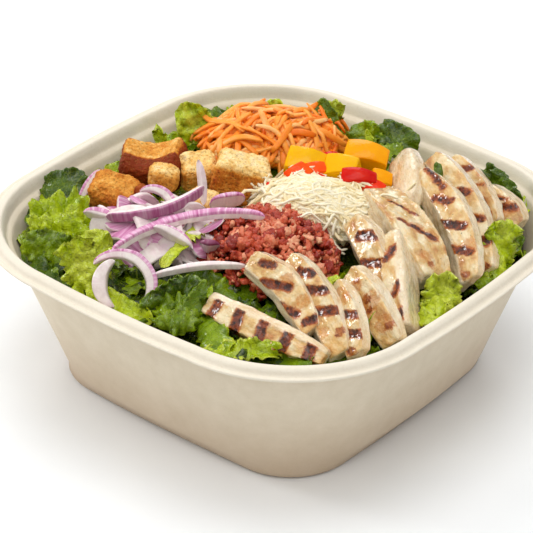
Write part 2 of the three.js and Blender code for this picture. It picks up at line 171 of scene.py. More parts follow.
# the closed surface of a block as a grid: corners from -1 to 1, and its faces
def blockSurface(counts):
    lattice = np.full([n + 1 for n in counts], -1)
    shell = np.zeros(lattice.shape, bool)
    shell[[0, -1]] = True
    shell[:, [0, -1]] = True
    shell[:, :, [0, -1]] = True
    lattice[shell] = np.arange(shell.sum())
    corners = np.argwhere(shell) / np.array(counts) * 2 - 1
    faces = []
    for axis in range(3):
        for end in (0, -1):
            quads = quadsOf(np.take(lattice, end, axis=axis))
            faces.append(quads[:, ::-1] if (end == 0) != (axis == 1) else quads)
    return corners, np.vstack(faces)


# rounds a block's edges; radius has a value for each axis
def roundBlock(corners, half, radius):
    points = corners * half
    core = np.clip(points, -(half - radius), half - radius)
    out = (points - core) / radius
    reach = np.linalg.norm(out, axis=1, keepdims=True)
    return np.where(reach > 1e-6, core + out / np.maximum(reach, 1e-6) * radius, points)


# normals of the points of a mesh of quads or triangles
def pointNormals(points, faces):
    normals = np.zeros_like(points)
    across = points[faces[:, 2]] - points[faces[:, 0]]
    along = points[faces[:, -1]] - points[faces[:, 1]]
    if faces.shape[1] == 3:
        along = points[faces[:, 2]] - points[faces[:, 1]]
    faceNormals = np.cross(across, along)
    for column in range(faces.shape[1]):
        np.add.at(normals, faces[:, column], faceNormals)
    return unit(normals)


# squares off a cosine or sine, so that a round section comes nearer to a square one
def squaredOff(wave, power):
    return np.sign(wave) * np.abs(wave) ** power


# a tube of `sides` along a path, with its width, height and how square its section is
def sweep(path, width, height, sides, square=1.0, twist=0.0, start=None):
    tangents = unit(np.gradient(path, axis=0))
    side = np.cross(tangents[0], upward if start is None else start)
    if np.linalg.norm(side) < 1e-3:
        side = np.cross(tangents[0], [1.0, 0.0, 0.0])
    side = side / np.linalg.norm(side)
    angles = np.arange(sides) * 2 * np.pi / sides + np.pi / sides
    cosine = squaredOff(np.cos(angles), square)
    sine = squaredOff(np.sin(angles), square)
    rings = []
    for i, tangent in enumerate(tangents):
        side = side - tangent * np.dot(side, tangent)
        side = side / np.linalg.norm(side)
        over = np.cross(side, tangent)
        turn = twist * i / len(path)
        a = side * math.cos(turn) + over * math.sin(turn)
        b = over * math.cos(turn) - side * math.sin(turn)
        rings.append(path[i] + np.outer(cosine * width[i] / 2, a) + np.outer(sine * height[i] / 2, b))
    points = np.vstack(rings + [path[:1], path[-1:]])
    count = len(path)
    tube = gridFaces(count, sides, closeColumns=True)
    first = np.arange(sides)
    last = first + (count - 1) * sides
    capA = np.stack([first, np.roll(first, -1), np.full(sides, count * sides)], 1)
    capB = np.stack([np.roll(last, -1), last, np.full(sides, count * sides + 1)], 1)
    return points, [tube, capA, capB]


# a ball of small triangles
@functools.cache
def ball(detail):
    bpy.ops.mesh.primitive_ico_sphere_add(subdivisions=detail, radius=1)
    made = bpy.context.object
    points = np.array([v.co for v in made.data.vertices])
    faces = np.array([p.vertices for p in made.data.polygons])
    bpy.data.objects.remove(made)
    return points, faces


def newHeap():
    return {"points": [], "faces": [], "fields": {}, "count": 0}


def addTo(heap, points, faces, **fields):
    for block in faces:
        heap["faces"].append(block + heap["count"])
    heap["points"].append(points)
    for key, value in fields.items():
        heap["fields"].setdefault(key, []).append(np.broadcast_to(np.asarray(value, float), (len(points),)))
    heap["count"] += len(points)


# makes the Blender object, rides it on the bowl's body and hides the CAD nodes it stands for
def makePiece(name, points, faces, material, slotName, nodes=(), **fields):
    if not isinstance(faces, list):
        faces = [faces]
    mesh = bpy.data.meshes.new(name)
    mesh.from_pydata((np.asarray(points) * mm).tolist(), [], [f for block in faces for f in block.tolist()])
    mesh.polygons.foreach_set("use_smooth", [True] * len(mesh.polygons))
    for key, values in fields.items():
        layer = mesh.attributes.new(key, "FLOAT", "POINT")
        layer.data.foreach_set("value", np.asarray(values, np.float32))
    mesh.materials.append(material)
    mesh.update()
    piece = bpy.data.objects.new(name, mesh)
    bpy.context.scene.collection.objects.link(piece)
    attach(piece, "root")
    if nodes:
        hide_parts(*nodes)


def makeHeap(name, heap, material, slotName, nodes=()):
    fields = {key: np.concatenate(values) for key, values in heap["fields"].items()}
    makePiece(name, np.vstack(heap["points"]), heap["faces"], material, slotName, nodes, **fields)


# what the frame says: a node's points and faces in millimetres, its search tree, its span on turned axes

def nodeShape(node):
    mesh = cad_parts[node].data
    points = np.array([v.co for v in mesh.vertices]) / mm
    mesh.calc_loop_triangles()
    faces = np.array([t.vertices for t in mesh.loop_triangles])
    return points, faces


def searchTree(*nodes):
    allPoints = []
    allFaces = []
    count = 0
    for node in nodes:
        points, faces = nodeShape(node)
        allPoints += points.tolist()
        allFaces += (faces + count).tolist()
        count += len(points)
    return BVHTree.FromPolygons(allPoints, allFaces)


def spanOn(node, axes):
    local = nodeShape(node)[0] @ axes
    return local.min(0), local.max(0)


# scales and moves a shape so that it fills a node's span; it stays on the turned axes
def fitTo(points, node, axes):
    low, high = spanOn(node, axes)
    return (points - points.min(0)) / (points.max(0) - points.min(0)) * (high - low) + low


# evenly spread random places on a node's surface, with their normals
def placesOn(node, count, rng, lowest=-1e9, steepest=-0.2):
    points, faces = nodeShape(node)
    a, b, c = points[faces[:, 0]], points[faces[:, 1]], points[faces[:, 2]]
    cross = np.cross(b - a, c - a)
    area = np.linalg.norm(cross, axis=1)
    normals = cross / np.maximum(area, 1e-9)[:, None]
    area = np.where((normals[:, 2] > steepest) & (np.maximum(a, np.maximum(b, c))[:, 2] > lowest), area, 0)
    picked = rng.choice(len(faces), size=count, p=area / area.sum())
    u = rng.random((count, 1))
    v = rng.random((count, 1))
    flip = (u + v) > 1
    u = np.where(flip, 1 - u, u)
    v = np.where(flip, 1 - v, v)
    return a[picked] + u * (b - a)[picked] + v * (c - a)[picked], normals[picked]


# a node's own shape drawn in by `depth`, which fills what shows between loose pieces
def coreShape(node, depth):
    points, faces = nodeShape(node)
    keys = np.round(points, 3)
    kept, index = np.unique(keys, axis=0, return_inverse=True)
    faces = index.reshape(-1)[faces]
    normals = pointNormals(kept, faces)
    return kept - normals * depth, faces


foodNodes = sorted(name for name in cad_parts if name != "bowl")
topTree = searchTree(*foodNodes)


def heightOf(tree, x, y):
    hit = tree.ray_cast(Vector((x, y, 300.0)), Vector((0, 0, -1)))
    return None if hit[0] is None else hit[0].z


print("frame loaded:", len(foodNodes), "food nodes")

# the bowl

bowlLow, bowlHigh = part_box("bowl")
bowlHalf = (bowlHigh.x - bowlLow.x) / 2 / mm
bowlTop = bowlHigh.z / mm
bowlValues = {
    "stepsPerQuarter": 60,
    "sideBulge": 1.6,       # how far each straight side bows outward
    "sideShare": 0.2,       # share of each quarter turn that is straight side, at either end
    "wall": 1.3,            # thickness of the moulded fibre
    "floorThickness": 1.6,
    "ledge": 0.3,           # how much thicker the wall is near the floor
    "unevenSize": 34,       # hand-moulded pulp is never quite true: the size and depth of its waves
    "unevenDepth": 0.22,
    # outline at heights: half width short of the full half width, and corner radius
    "outline": [(0, 36.6, 29), (1.2, 35.4, 30), (9.6, 28.8, 50), (66, 12, 54), (74.8, 0, 66.9)],
    # rim section from the lip inward: inset from the lip and drop below the crest
    "rimTop": [(0, 3.1), (0.25, 2.55), (1.1, 2.45), (2.2, 2.75), (3.1, 2.2), (3.9, 0.9), (5, 0.15), (6.3, 0),
               (7.5, 0.35), (8.5, 1.9), (9.5, 4.5), (10.1, 5.6), (11.2, 6.3), (12.2, 7.0)],
    "rimUnder": [(13.2, 11.2), (12.2, 9.3), (10.9, 8.3), (9.2, 7.4), (8.2, 5), (7.2, 2.3), (6, 1.7), (4.8, 2),
                 (4, 3.2), (3.4, 4), (1.8, 4.2), (0.7, 3.9)],
    # the curve above the foot: inset from the lip and height
    "heel": [(34.6, 3.0), (31.4, 6.6), (28.4, 10.4), (25.6, 20)],
}


def bowlOutline(z):
    rows = bowlValues["outline"]
    heights = [row[0] for row in rows]
    half = bowlHalf - np.interp(z, heights, [row[1] for row in rows])
    return half, np.interp(z, heights, [row[2] for row in rows])


# points round a square with rounded corners and bowed sides
def squareRing(half, corner):
    steps = bowlValues["stepsPerQuarter"]
    share = np.arange(steps) / steps
    side = bowlValues["sideShare"]
    bulge = bowlValues["sideBulge"] * half / bowlHalf
    straight = half - bulge - corner
    bend = np.clip((share - side) / (1 - 2 * side), 0, 1) * np.pi / 2
    x = straight + corner * np.cos(bend)
    y = straight + corner * np.sin(bend)
    first = share < side
    last = share > 1 - side
    along = np.where(first, share / side, (1 - share) / side)
    across = half - bulge * along ** 2
    x = np.where(first, across, np.where(last, along * straight, x))
    y = np.where(first, along * straight, np.where(last, across, y))
    quarters = []
    for turn in range(4):
        c, s = round(math.cos(turn * math.pi / 2)), round(math.sin(turn * math.pi / 2))
        quarters.append(np.stack([x * c - y * s, x * s + y * c], 1))
    return np.vstack(quarters)


# keeps food points inside the bowl's wall
def keepInside(points, margin):
    half, corner = bowlOutline(points[:, 2])
    half = half - bowlValues["wall"] - margin - bowlValues["sideBulge"]
    # sharper than the wall's own corner, so that there a leaf can come up to 0.4 mm through it
    corner = corner * 0.9
    flat = np.abs(points[:, :2]) - (half - corner)[:, None]
    outer = np.maximum(flat, 0)
    reach = np.linalg.norm(outer, axis=1)
    over = np.maximum(reach - corner, 0)
    pull = outer / np.maximum(reach, 1e-6)[:, None] * over[:, None] * np.sign(points[:, :2])
    moved = points.copy()
    moved[:, :2] -= pull
    return moved


# puts a curve through a list of points, `between` new points in each gap
def smoothLine(points, between):
    points = np.array(points, float)
    padded = np.vstack([2 * points[0] - points[1], points, 2 * points[-1] - points[-2]])
    out = []
    for i in range(len(points) - 1):
        p0, p1, p2, p3 = padded[i:i + 4]
        for t in np.arange(between) / between:
            out.append(0.5 * (2 * p1 + (p2 - p0) * t + (2 * p0 - 5 * p1 + 4 * p2 - p3) * t * t
                              + (3 * p1 - p0 - 3 * p2 + p3) * t ** 3))
    out.append(points[-1])
    return np.array(out)


# moulded fibre: bagasse pulp pressed in a mesh mould; matt warm beige, faintly mottled, finely fibrous, with
# painted shade that makes it browner and darker towards the foot, and a painted highlight that makes it
# palest on the rim
def mouldedFibre():
    material, add, shader = newMaterial("moulded bagasse fibre")
    place = add("TexCoord", output="Object")
    mottle = add("TexNoise", [place, 1 / (9 * mm), 4, 0.6])
    base = add("ValToRGB", [mottle], stops=[(0.3, "#d9cbb2"), (0.7, "#e1d4bd")])
    z = add("SeparateXYZ", [place], output="Z")
    height = add("Math", [z, 1 / bowlHigh.z], operation="MULTIPLY")
    # painted shade: darker and browner towards the foot
    paintedFootShade = add("ValToRGB", [height], stops=[(0.0, 0.5), (0.6, 0.0)])
    # painted highlight: paler on the rim, as where it catches the light
    rim = add("ValToRGB", [height], stops=[(0.9, 0.0), (0.97, 0.5)])
    fleck = add("TexNoise", [place, 1 / (1.1 * mm), 2, 0.7])
    fleck = add("ValToRGB", [fleck], stops=[(0.56, 0.0), (0.74, 0.25)])
    for share, tint in ((paintedFootShade, "#b89678"), (rim, "#eee9dd"), (fleck, "#cfbfa2")):
        base = add("Mix", [share, base, tint], data_type="RGBA")
    soft = add("Bump", {"Height": add("TexNoise", [place, 1 / (6 * mm), 2]), "Distance": 0.35 * mm})
    # the mould's mesh, as coarse as it needs to be to show
    squeezed = add("Mapping", {"Vector": place, "Scale": (1, 1, 1.6)})
    weave = add("TexNoise", [squeezed, 1 / (0.9 * mm), 3, 0.65])
    normal = add("Bump", {"Height": weave, "Distance": 0.16 * mm, "Normal": soft})
    feed(shader, {"Base Color": base, "Roughness": 0.6, "Normal": normal, "IOR": 1.5,
                  "Specular IOR Level": 0.25})
    return material


def makeBowl():
    rows = bowlValues["outline"]
    wall = bowlValues["wall"]
    footHalf = bowlHalf - rows[0][1]
    # the flat underside with a soft edge, the heel and the plain wall
    outer = [(0.0, 0.0), (footHalf - 8, 0.0), (footHalf - 1.5, 0.0), (bowlHalf - rows[1][1], rows[1][0])]
    outer += smoothLine([(bowlHalf - inset, z) for inset, z in bowlValues["heel"]], 4).tolist()
    outer += [(bowlOutline(z)[0], z) for z in np.linspace(24, 62, 12)]
    under = smoothLine([(bowlHalf - inset, bowlTop - drop) for inset, drop in bowlValues["rimUnder"]], 3)
    top = smoothLine([(bowlHalf - inset, bowlTop - drop) for inset, drop in bowlValues["rimTop"]], 5)
    inner = [(bowlOutline(z)[0] - wall, z) for z in np.linspace(66.3, 22, 10)]
    inner += [(bowlOutline(z)[0] - wall - bowlValues["ledge"], z) for z in (14, 9, 5, 3)]
    inner += [(footHalf - 4, bowlValues["floorThickness"]), (0.0, bowlValues["floorThickness"])]
    section = np.vstack([outer, under, top, inner])
    rings = []
    for half, z in section:
        outlineHalf, corner = bowlOutline(min(max(z, 0), bowlTop))
        corner = max(corner - (outlineHalf - half), half * 0.38)
        ring = squareRing(max(half, 1e-4), corner)
        rings.append(np.column_stack([ring, np.full(len(ring), z)]))
    around = len(rings[0])
    points = np.vstack(rings)
    waves = bumps(points, bowlValues["unevenSize"], 5)[:, None]
    points = points + unit(points * [1, 1, 0]) * waves * bowlValues["unevenDepth"]
    faces = gridFaces(len(rings), around, closeColumns=True)
    makePiece("moulded_bowl", points, faces[:, ::-1], mouldedFibre(), "moulded_fibre", ["bowl"])


makeBowl()
print("bowl done")

# grilled chicken

chickenValues = {
    "grid": 0.75,                   # spacing of the points over a strip
    "rounding": (2.2, 0.9, 0.9),    # edge radius along the strip, across it and up
    "leanBack": 0.8,                # how far the seared face leans back over the ridge, share of half width
    "tuckUnder": 0.75,              # how far the cut face tucks in below it
    "fall": 0.5,                    # how far a cut face falls away beyond the ridge of a strip seared on top
    "slant": 0.16,                  # how far the ends are cut askew, for each millimetre up
    "taperPower": 2.6,              # how late a strip narrows towards its ends
    "slack": 0.35,                  # how far a strip stays clear of its neighbours
    "swell": (0.7, 0.3),            # height of the meat's broad bumps and of its smaller ones
    "fibre": 0.3,                   # relief of the muscle fibres
    "crinkle": 0.42,                # puckering of the seared face
    "barDepth": 0.4,                # how deep a grill bar burns in
}
# turn, dip and lean are degrees about Z, about the width and about the length, as the frame's strips lie;
# arch and bow are how far the middle rises and swings out, ends the share of the width kept at either end,
# thin what is drawn in at front and back; face is the seared side, ridge its edge as a share of half the
# height of a front or half the width of a top, and side how far the sear comes down from the top; a bar runs
# from one place to another over the seared face, along the strip and up or across it, and has a half width;
# a spot or a glow is a place and a half width
chickenStrips = [
    {"turn": 4, "dip": 4, "lean": 42, "arch": 2, "ends": (0.78, 0.55), "bow": -1, "face": "top", "side": 6,
     "ridge": 0.4, "bars": [(-22.5, 2, -24, -6, 2.1), (-11.5, 2.5, -10, -7, 2.1), (0.5, 3, 2, -7, 2.1),
                            (12.5, 3, 12, -7, 2.0), (23, 3.5, 23.5, -4, 2.1)]},
    {"turn": -14, "dip": 17, "lean": -25, "arch": 3, "ends": (0.7, 0.7), "bow": 2, "face": "front",
     "thin": (0, 1.4),
     "ridge": -0.35, "bars": [(-16, 2, -11, 5, 1.3), (-9, -3, 1, 3.5, 1.7), (4, -4.5, 12, -1, 1.5),
                             (18, -0.5, 20, 3.5, 1.5)], "glow": [(-2, 5, 2.4), (10, 4, 2.5)]},
    {"turn": -24, "dip": 20, "lean": -25, "arch": 3, "ends": (0.75, 0.78), "bow": 1, "face": "front",
     "thin": (1.2, 0.5),
     "ridge": -0.35, "bars": [(-16, 3, -11, 7, 1.7), (-11, -2.5, -0.5, 8, 1.7), (0, -4.5, 10, 8, 1.7)],
     "spots": [(18.5, 4.5, 1.7)], "glow": [(14, -1, 2)]},
    {"turn": -36, "dip": 18, "lean": -18, "arch": 2, "ends": (0.75, 0.78), "face": "front",
     "ridge": -0.35, "bars": [(-4, -3, 4.5, 8, 1.4), (4.5, -5, 13, 6, 1.5)],
     "spots": [(16.5, -1, 1.6)], "glow": [(-7, 5.5, 2.2), (-12, 3, 1.5)]},
    {"turn": -20, "dip": 22, "lean": -15, "arch": 2, "ends": (0.78, 0.7), "face": "front",
     "ridge": -0.4, "bars": [], "spots": [(-3, 2.5, 1.5), (1.5, 1, 1.2), (12.5, 4, 1.5), (-12, 3, 0.9)],
     "glow": [(-1, 3, 4), (11, 3, 3.5), (-11, 2, 2.5)]},
    {"turn": -33, "dip": 22, "lean": -20, "arch": 4, "ends": (0.7, 0.78), "face": "front",
     "ridge": -0.3, "bars": [(-12, 2, -7.5, 8.5, 2.2), (0.5, -1, 6.5, 8, 1.9), (11.5, -3.5, 17, 6, 1.9)],
     "glow": [(12, 3, 3)]},
    {"turn": -48, "dip": 20, "lean": 28, "arch": 2, "ends": (0.6, 0.78), "face": "top",
     "ridge": 0.4, "bars": [(-7, -2.5, -12.5, 1.5, 1.6), (12, -0.5, 7, 2.5, 1.3), (24, -1, 19, 3.5, 1.6)],
     "glow": [(-9, -1, 2.5), (20, 1, 3)]},
    {"turn": -24, "dip": 14, "lean": -12, "arch": 3, "ends": (0.7, 0.7), "face": "top",
     "bars": [(-14.5, -2.5, -4, 5, 0.5), (-1, -5.5, 11, 6, 1.1)], "spots": [(23.5, -2.5, 1.2)],
     "glow": [(4, 0, 3), (10, 5, 3), (20, -3, 2.6)]},
    {"turn": -50, "dip": 4, "lean": -34, "arch": 2, "ends": (0.7, 0.7), "face": "plain", "bars": []},
    {"turn": -34, "dip": 14, "lean": -34, "arch": 4, "ends": (0.6, 0.7), "bow": 2, "face": "front",
     "ridge": -0.1, "bars": [(-32, 2.5, -17, 5.5, 1.1), (-14.5, 0.5, -7.5, 5.5, 1.6),
                             (0.5, -1.5, 8, 6.5, 1.7), (14.5, -2.5, 22, 4.5, 1.7)],
     "spots": [(31, -1.5, 1.3)], "glow": [(18, 5, 3)]},
    {"turn": -34, "dip": 13, "lean": -32, "arch": 4, "ends": (0.7, 0.7), "bow": 2, "face": "front",
     "ridge": -0.1, "bars": [(-8.5, 3.5, -5, 7, 2.0), (3, -1, 12, 7.5, 1.5), (17.5, -2, 25, 5.5, 1.7)],
     "spots": [(35.5, 0, 1.4)]},
    {"turn": -30, "dip": 10, "lean": -30, "arch": 2, "ends": (0.7, 0.7), "face": "front",
     "ridge": -0.2, "bars": [(-13, 2, -8.5, 7, 1.3), (-3, 0, 3.5, 7, 0.4), (10, 3, 18.5, 1.5, 1.2)]},
    {"turn": -16, "dip": 10, "lean": -20, "arch": 1, "ends": (0.78, 0.7), "face": "front",
     "ridge": -0.2, "bars": [(-9, 0.5, 1.5, 5.5, 0.5), (2, 2, 7, 5, 1.5)], "glow": [(5, 3, 3)]},
]


# grilled breast: moist ivory meat with a fine grain on the cut; the seared side is golden and puckered,
# and its bars burn maroon with tawny fringes
def grilledMeat():
    material, add, shader = newMaterial("grilled chicken breast")
    along, across, over = (add("Attribute", output="Fac", attribute_name=name) for name in
                           ("along", "across", "over"))
    # the fields count in millimetres along each strip, so the scales here do too
    place = add("CombineXYZ", [along, across, over])
    # muscle fibres are finer in life; at 1.5 mm they show
    fibres = add("TexNoise", [add("Mapping", {"Vector": place, "Scale": (0.35, 1, 1)}), 1 / 1.5, 4, 0.62])
    fine = add("TexNoise", [add("Mapping", {"Vector": place, "Scale": (0.8, 1, 1)}), 1 / 0.55, 2])
    ragged = add("TexNoise", [place, 1 / 1.6, 4, 0.7])
    patches = add("TexNoise", [add("Mapping", {"Vector": place, "Scale": (0.6, 1, 1)}), 1 / 7, 3])
    colour = add("ValToRGB", [patches], stops=[(0.3, "#dbb684"), (0.5, "#ecd3a8"), (0.7, "#f7e8cc")])
    pale = add("ValToRGB", [fibres], stops=[(0.45, 0.0), (0.75, 0.55)])
    colour = add("Mix", [pale, colour, "#f7f0df"], data_type="RGBA")
    tan = add("ValToRGB", [fine], stops=[(0.55, 0.0), (0.75, 0.45)])
    colour = add("Mix", [tan, colour, "#c79c66"], data_type="RGBA")

    # how far the meat lies outside what a field marks; raggedness and shift are in millimetres
    def outside(name, raggedness, shift):
        distance = add("Attribute", output="Fac", attribute_name=name)
        distance = add("Math", [distance, shift], operation="SUBTRACT")
        return add("Math", [ragged, raggedness, distance], operation="MULTIPLY_ADD")

    # the seared side: golden patches between paler moist ones
    golden = add("TexNoise", [add("Mapping", {"Vector": place, "Scale": (0.7, 1, 1)}), 1 / 5.5, 4])
    golden = add("ValToRGB", [golden], stops=[(0.36, "#f3e2ba"), (0.52, "#e0b56c"), (0.68, "#bd7428")])
    seared = add("ValToRGB", [outside("seared", 1.6, 0.8)], stops=[(0.0, 0.0), (0.8, 0.85)])
    colour = add("Mix", [seared, colour, golden], data_type="RGBA")
    # golden fat that gathers beside the bars
    glow = add("ValToRGB", [outside("glow", 5.0, 2.5)], stops=[(0.0, 0.6), (1.0, 0.0)])
    colour = add("Mix", [glow, colour, "#c97a26"], data_type="RGBA")
    # bars: a tawny fringe, burnt meat and flakes of char
    edge = outside("bar", 2.2, 1.2)
    fringe = add("ValToRGB", [edge], stops=[(0.0, 1.0), (1.0, 0.0)])
    patchy = add("ValToRGB", [add("TexNoise", [place, 1 / 3, 2])], stops=[(0.36, 0.4), (0.58, 1.0)])
    fringe = add("Math", [fringe, patchy], operation="MULTIPLY")
    colour = add("Mix", [fringe, colour, "#b0500e"], data_type="RGBA")
    burn = add("ValToRGB", [add("Math", [edge, 0.4, 0.6], operation="MULTIPLY_ADD")],
               stops=[(0.0, "#3a1104"), (0.25, "#5c2006"), (0.45, "#8a3a0c"), (0.62, "#bc681c")])
    char = add("ValToRGB", [add("TexNoise", [place, 1 / 2.4, 3])], stops=[(0.48, 0.0), (0.6, 0.8)])
    burn = add("Mix", [char, burn, "#1a0a06"], data_type="RGBA")
    inside = add("ValToRGB", [edge], stops=[(0.0, 1.0), (0.6, 0.0)])
    colour = add("Mix", [inside, colour, burn], data_type="RGBA")
    # scorched patches, darkest along the fibres
    scorch = outside("spot", 4.4, 2.2)
    patch = add("ValToRGB", [scorch], stops=[(0.0, 0.85), (1.0, 0.0)])
    colour = add("Mix", [patch, colour, "#b5601c"], data_type="RGBA")
    middle = add("ValToRGB", [scorch], stops=[(0.0, 0.9), (0.2, 0.0)])
    streaks = add("ValToRGB", [fibres], stops=[(0.45, 0.2), (0.6, 1.0)])
    dark = add("Math", [middle, streaks], operation="MULTIPLY")
    colour = add("Mix", [dark, colour, "#6d2c16"], data_type="RGBA")
    # cracked pepper and dried herb, a speck in a cell of 2.4 mm here and there
    specks = add("TexVoronoi", {"Vector": place, "Scale": 0.42}, output="Distance")
    specks = add("Math", [add("TexNoise", [place, 1 / 0.7, 2]), 0.12, specks], operation="MULTIPLY_ADD")
    size = add("Math", [add("TexNoise", [place, 1 / 4, 1]), 0.3], operation="MULTIPLY")
    specks = add("Math", [specks, size], operation="LESS_THAN")
    here = add("Math", [add("TexNoise", [place, 1 / 5, 2]), 0.55], operation="GREATER_THAN")
    here = add("Math", [here, 0.8], operation="MULTIPLY")
    specks = add("Math", [specks, here], operation="MULTIPLY")
    colour = add("Mix", [specks, colour, "#4f3a22"], data_type="RGBA")
    normal = None
    for height, depth in ((fibres, 0.45), (ragged, 0.7), (fine, 0.16)):
        below = {"Normal": normal} if normal else {}
        normal = add("Bump", {"Height": height, "Distance": depth * mm, **below})
    # a film of juice, smoother than the meat below
    film = add("Bump", {"Height": add("TexNoise", [place, 1 / 2.6, 2]), "Distance": 0.32 * mm})
    rough = add("ValToRGB", [fibres], stops=[(0.35, 0.16), (0.7, 0.4)])
    feed(shader, {"Base Color": colour, "Roughness": rough, "Normal": normal, "IOR": 1.4,
                  "Specular IOR Level": 0.3, "Coat Weight": 0.9, "Coat Roughness": 0.1,
                  "Coat Normal": film, "Subsurface Weight": 0.1, "Subsurface Radius": (1.0, 0.55, 0.3),
                  "Subsurface Scale": 1.4 * mm})
    return material


# how far places lie from the line between two points
def awayFromLine(x, y, x0, y0, x1, y1):
    dx, dy = x1 - x0, y1 - y0
    share = np.clip(((x - x0) * dx + (y - y0) * dy) / max(dx * dx + dy * dy, 1e-6), 0, 1)
    return np.hypot(x - x0 - share * dx, y - y0 - share * dy)


# how far places lie outside the nearest of some spots
def outsideSpots(x, height, spots):
    away = np.full(len(x), 9.0)
    for spotX, spotHeight, halfWidth in spots:
        away = np.minimum(away, np.hypot(x - spotX, height - spotHeight) - halfWidth)
    return away


def makeStrip(number, values, material):
    node = f"chicken_strip_{number}"
    axes = turning(values["lean"], values["dip"], values["turn"])
    low, high = spanOn(node, axes)
    size = high - low
    arch = values["arch"]
    bow = values.get("bow", 0)
    half = np.array([size[0], size[1] - abs(bow), size[2] - arch]) / 2
    counts = np.maximum(np.ceil(2 * half / chickenValues["grid"]).astype(int), 4)
    corners, faces = blockSurface(counts)
    radius = np.minimum(np.array(chickenValues["rounding"]), half * [0.5, 0.6, 0.6])
    if values["face"] == "plain":
        radius = half * [0.4, 0.75, 0.75]
    points = roundBlock(corners, half, radius)
    share = points / half
    if values["face"] == "front":
        ridge = values["ridge"]
        up = share[:, 2]
        back = np.where(up > ridge, chickenValues["leanBack"] * (up - ridge) / (1 - ridge),
                        chickenValues["tuckUnder"] * (ridge - up) / (1 + ridge))
        points[:, 1] += back * half[1] * (1 - share[:, 1]) / 2
    elif "ridge" in values:
        beyond = np.maximum(share[:, 1] - values["ridge"], 0)
        points[:, 2] -= chickenValues["fall"] * beyond * half[1] * (1 + share[:, 2]) / 2
    along = share[:, 0]
    ends = np.where(along < 0, values["ends"][0], values["ends"][1])
    taper = 1 - (1 - ends) * np.abs(along) ** chickenValues["taperPower"]
    points[:, 1] = points[:, 1] * taper + bow * (1 - along ** 2)
    points[:, 2] = points[:, 2] * taper + arch * (1 - along ** 2)
    # the ends are cut slanting, as a breast is sliced
    slant = chickenValues["slant"] * points[:, 2] * np.sign(along)
    points[:, 0] += slant * smoothStep(np.abs(along), 0.5, 1.0)
    normals = pointNormals(points, faces)
    place = points + 137.0 * number    # each strip has its own part of the patterns
    if values["face"] == "front":
        seared = np.minimum((share[:, 2] - values["ridge"]) * half[2], 1.4 - (share[:, 1] + 1) * half[1])
    elif values["face"] == "top":
        seared = (corners[:, 2] - 1) * half[2] + values.get("side", 1.6)
        if "ridge" in values:
            seared = np.minimum(seared, (values["ridge"] - share[:, 1]) * half[1])
    else:
        seared = np.full(len(points), -3.0)
    fibre = layered(place * [0.4, 1, 1], 4.2, number, 3, 0.55) * chickenValues["fibre"]
    large, small = chickenValues["swell"]
    broad = bumps(place * [0.7, 1, 1], 13, number + 40) * large + bumps(place, 5.5, number + 50) * small
    crinkle = layered(place, 3.4, number + 70, 3, 0.6) * chickenValues["crinkle"]
    crinkle = crinkle * smoothStep(seared, -0.5, 1.0)
    points = points + normals * (fibre + broad + crinkle)[:, None]
    local = fitTo(points, node, axes)
    place = (local - (low + high) / 2) * (1 - 2 * chickenValues["slack"] / size)
    front, back = values.get("thin", (0, 0))
    place[:, 1] = place[:, 1] * (1 - (front + back) / size[1]) + (front - back) / 2
    local = place + (low + high) / 2
    height = place[:, 1] if values["face"] == "top" else place[:, 2]
    bar = np.full(len(place), 9.0)
    for x0, h0, x1, h1, halfWidth in values["bars"]:
        bar = np.minimum(bar, awayFromLine(place[:, 0], height, x0, h0, x1, h1) - halfWidth)
    spot = outsideSpots(place[:, 0], height, values.get("spots", []))
    glow = outsideSpots(place[:, 0], height, values.get("glow", []))
    away = np.maximum(-seared, 0)
    bar = np.maximum(bar + 0.6 * bumps(place + 31 * number, 4.5, 7), away * 1.3 - 0.5)
    glow = np.maximum(glow, away)
    spot = np.maximum(spot + 0.8 * bumps(place + 31 * number, 3.0, 9), away * 1.3 - 0.5)
    sunk = smoothStep(-bar, 0.0, 0.7) * chickenValues["barDepth"]
    local = local - pointNormals(local, faces) * sunk[:, None]
    makePiece(f"grilled_chicken_{number}", local @ axes.T, faces, material, "grilled_chicken", [node],
              along=place[:, 0] + 60 * number, across=place[:, 1], over=place[:, 2],
              bar=bar, spot=spot, glow=glow, seared=seared)


meat = grilledMeat()
for number, values in enumerate(chickenStrips, 1):
    makeStrip(number, values, meat)
print("chicken done")

# croutons

croutonValues = {
    "grid": 0.62,           # spacing of the points
    "pore": 1.1,            # how deep the open pores are, and how far apart
    "poreSize": 3.2,
    "crumbGrain": 0.45,     # relief of the crumb between them
    "unevenness": 0.09,     # how far a cube is from true, as a share of its size
    "edgeToast": 0.16,      # how much browner its edges are, and how much the toasting varies
    "patchyToast": 0.12,
}
# turn about X, Y and Z; round and dish as the frame's cubes; how dark the top and the sides are, from
# toasting and, on the sides, painted shade; crust is how far the crust comes over the top, as a share of half
# the width
croutonCubes = [
    {"turn": (8, -6, 30), "round": 6.5, "dish": 5, "top": 0.4, "side": 1.0, "pores": 0.35, "crust": -0.25},
    {"turn": (14, 10, 20), "round": 6, "dish": 0, "top": 0.5, "side": 0.62, "pores": 1.0},
    {"turn": (0, 10, 35), "round": 5, "dish": 0, "top": 0.28, "side": 0.38, "pores": 1.0},
    {"turn": (10, 0, 50), "round": 4, "dish": 0, "top": 0.24, "side": 0.38, "pores": 0.9},
    {"turn": (-6, 12, 36), "round": 4, "dish": 0, "top": 0.12, "side": 0.6, "pores": 0.8},
    {"turn": (12, 0, 10), "round": 4, "dish": 0, "top": 0.22, "side": 0.36, "pores": 1.0},
    {"turn": (0, 20, 10), "round": 2, "dish": 0, "top": 0.8, "side": 0.9, "pores": 1.0},
]
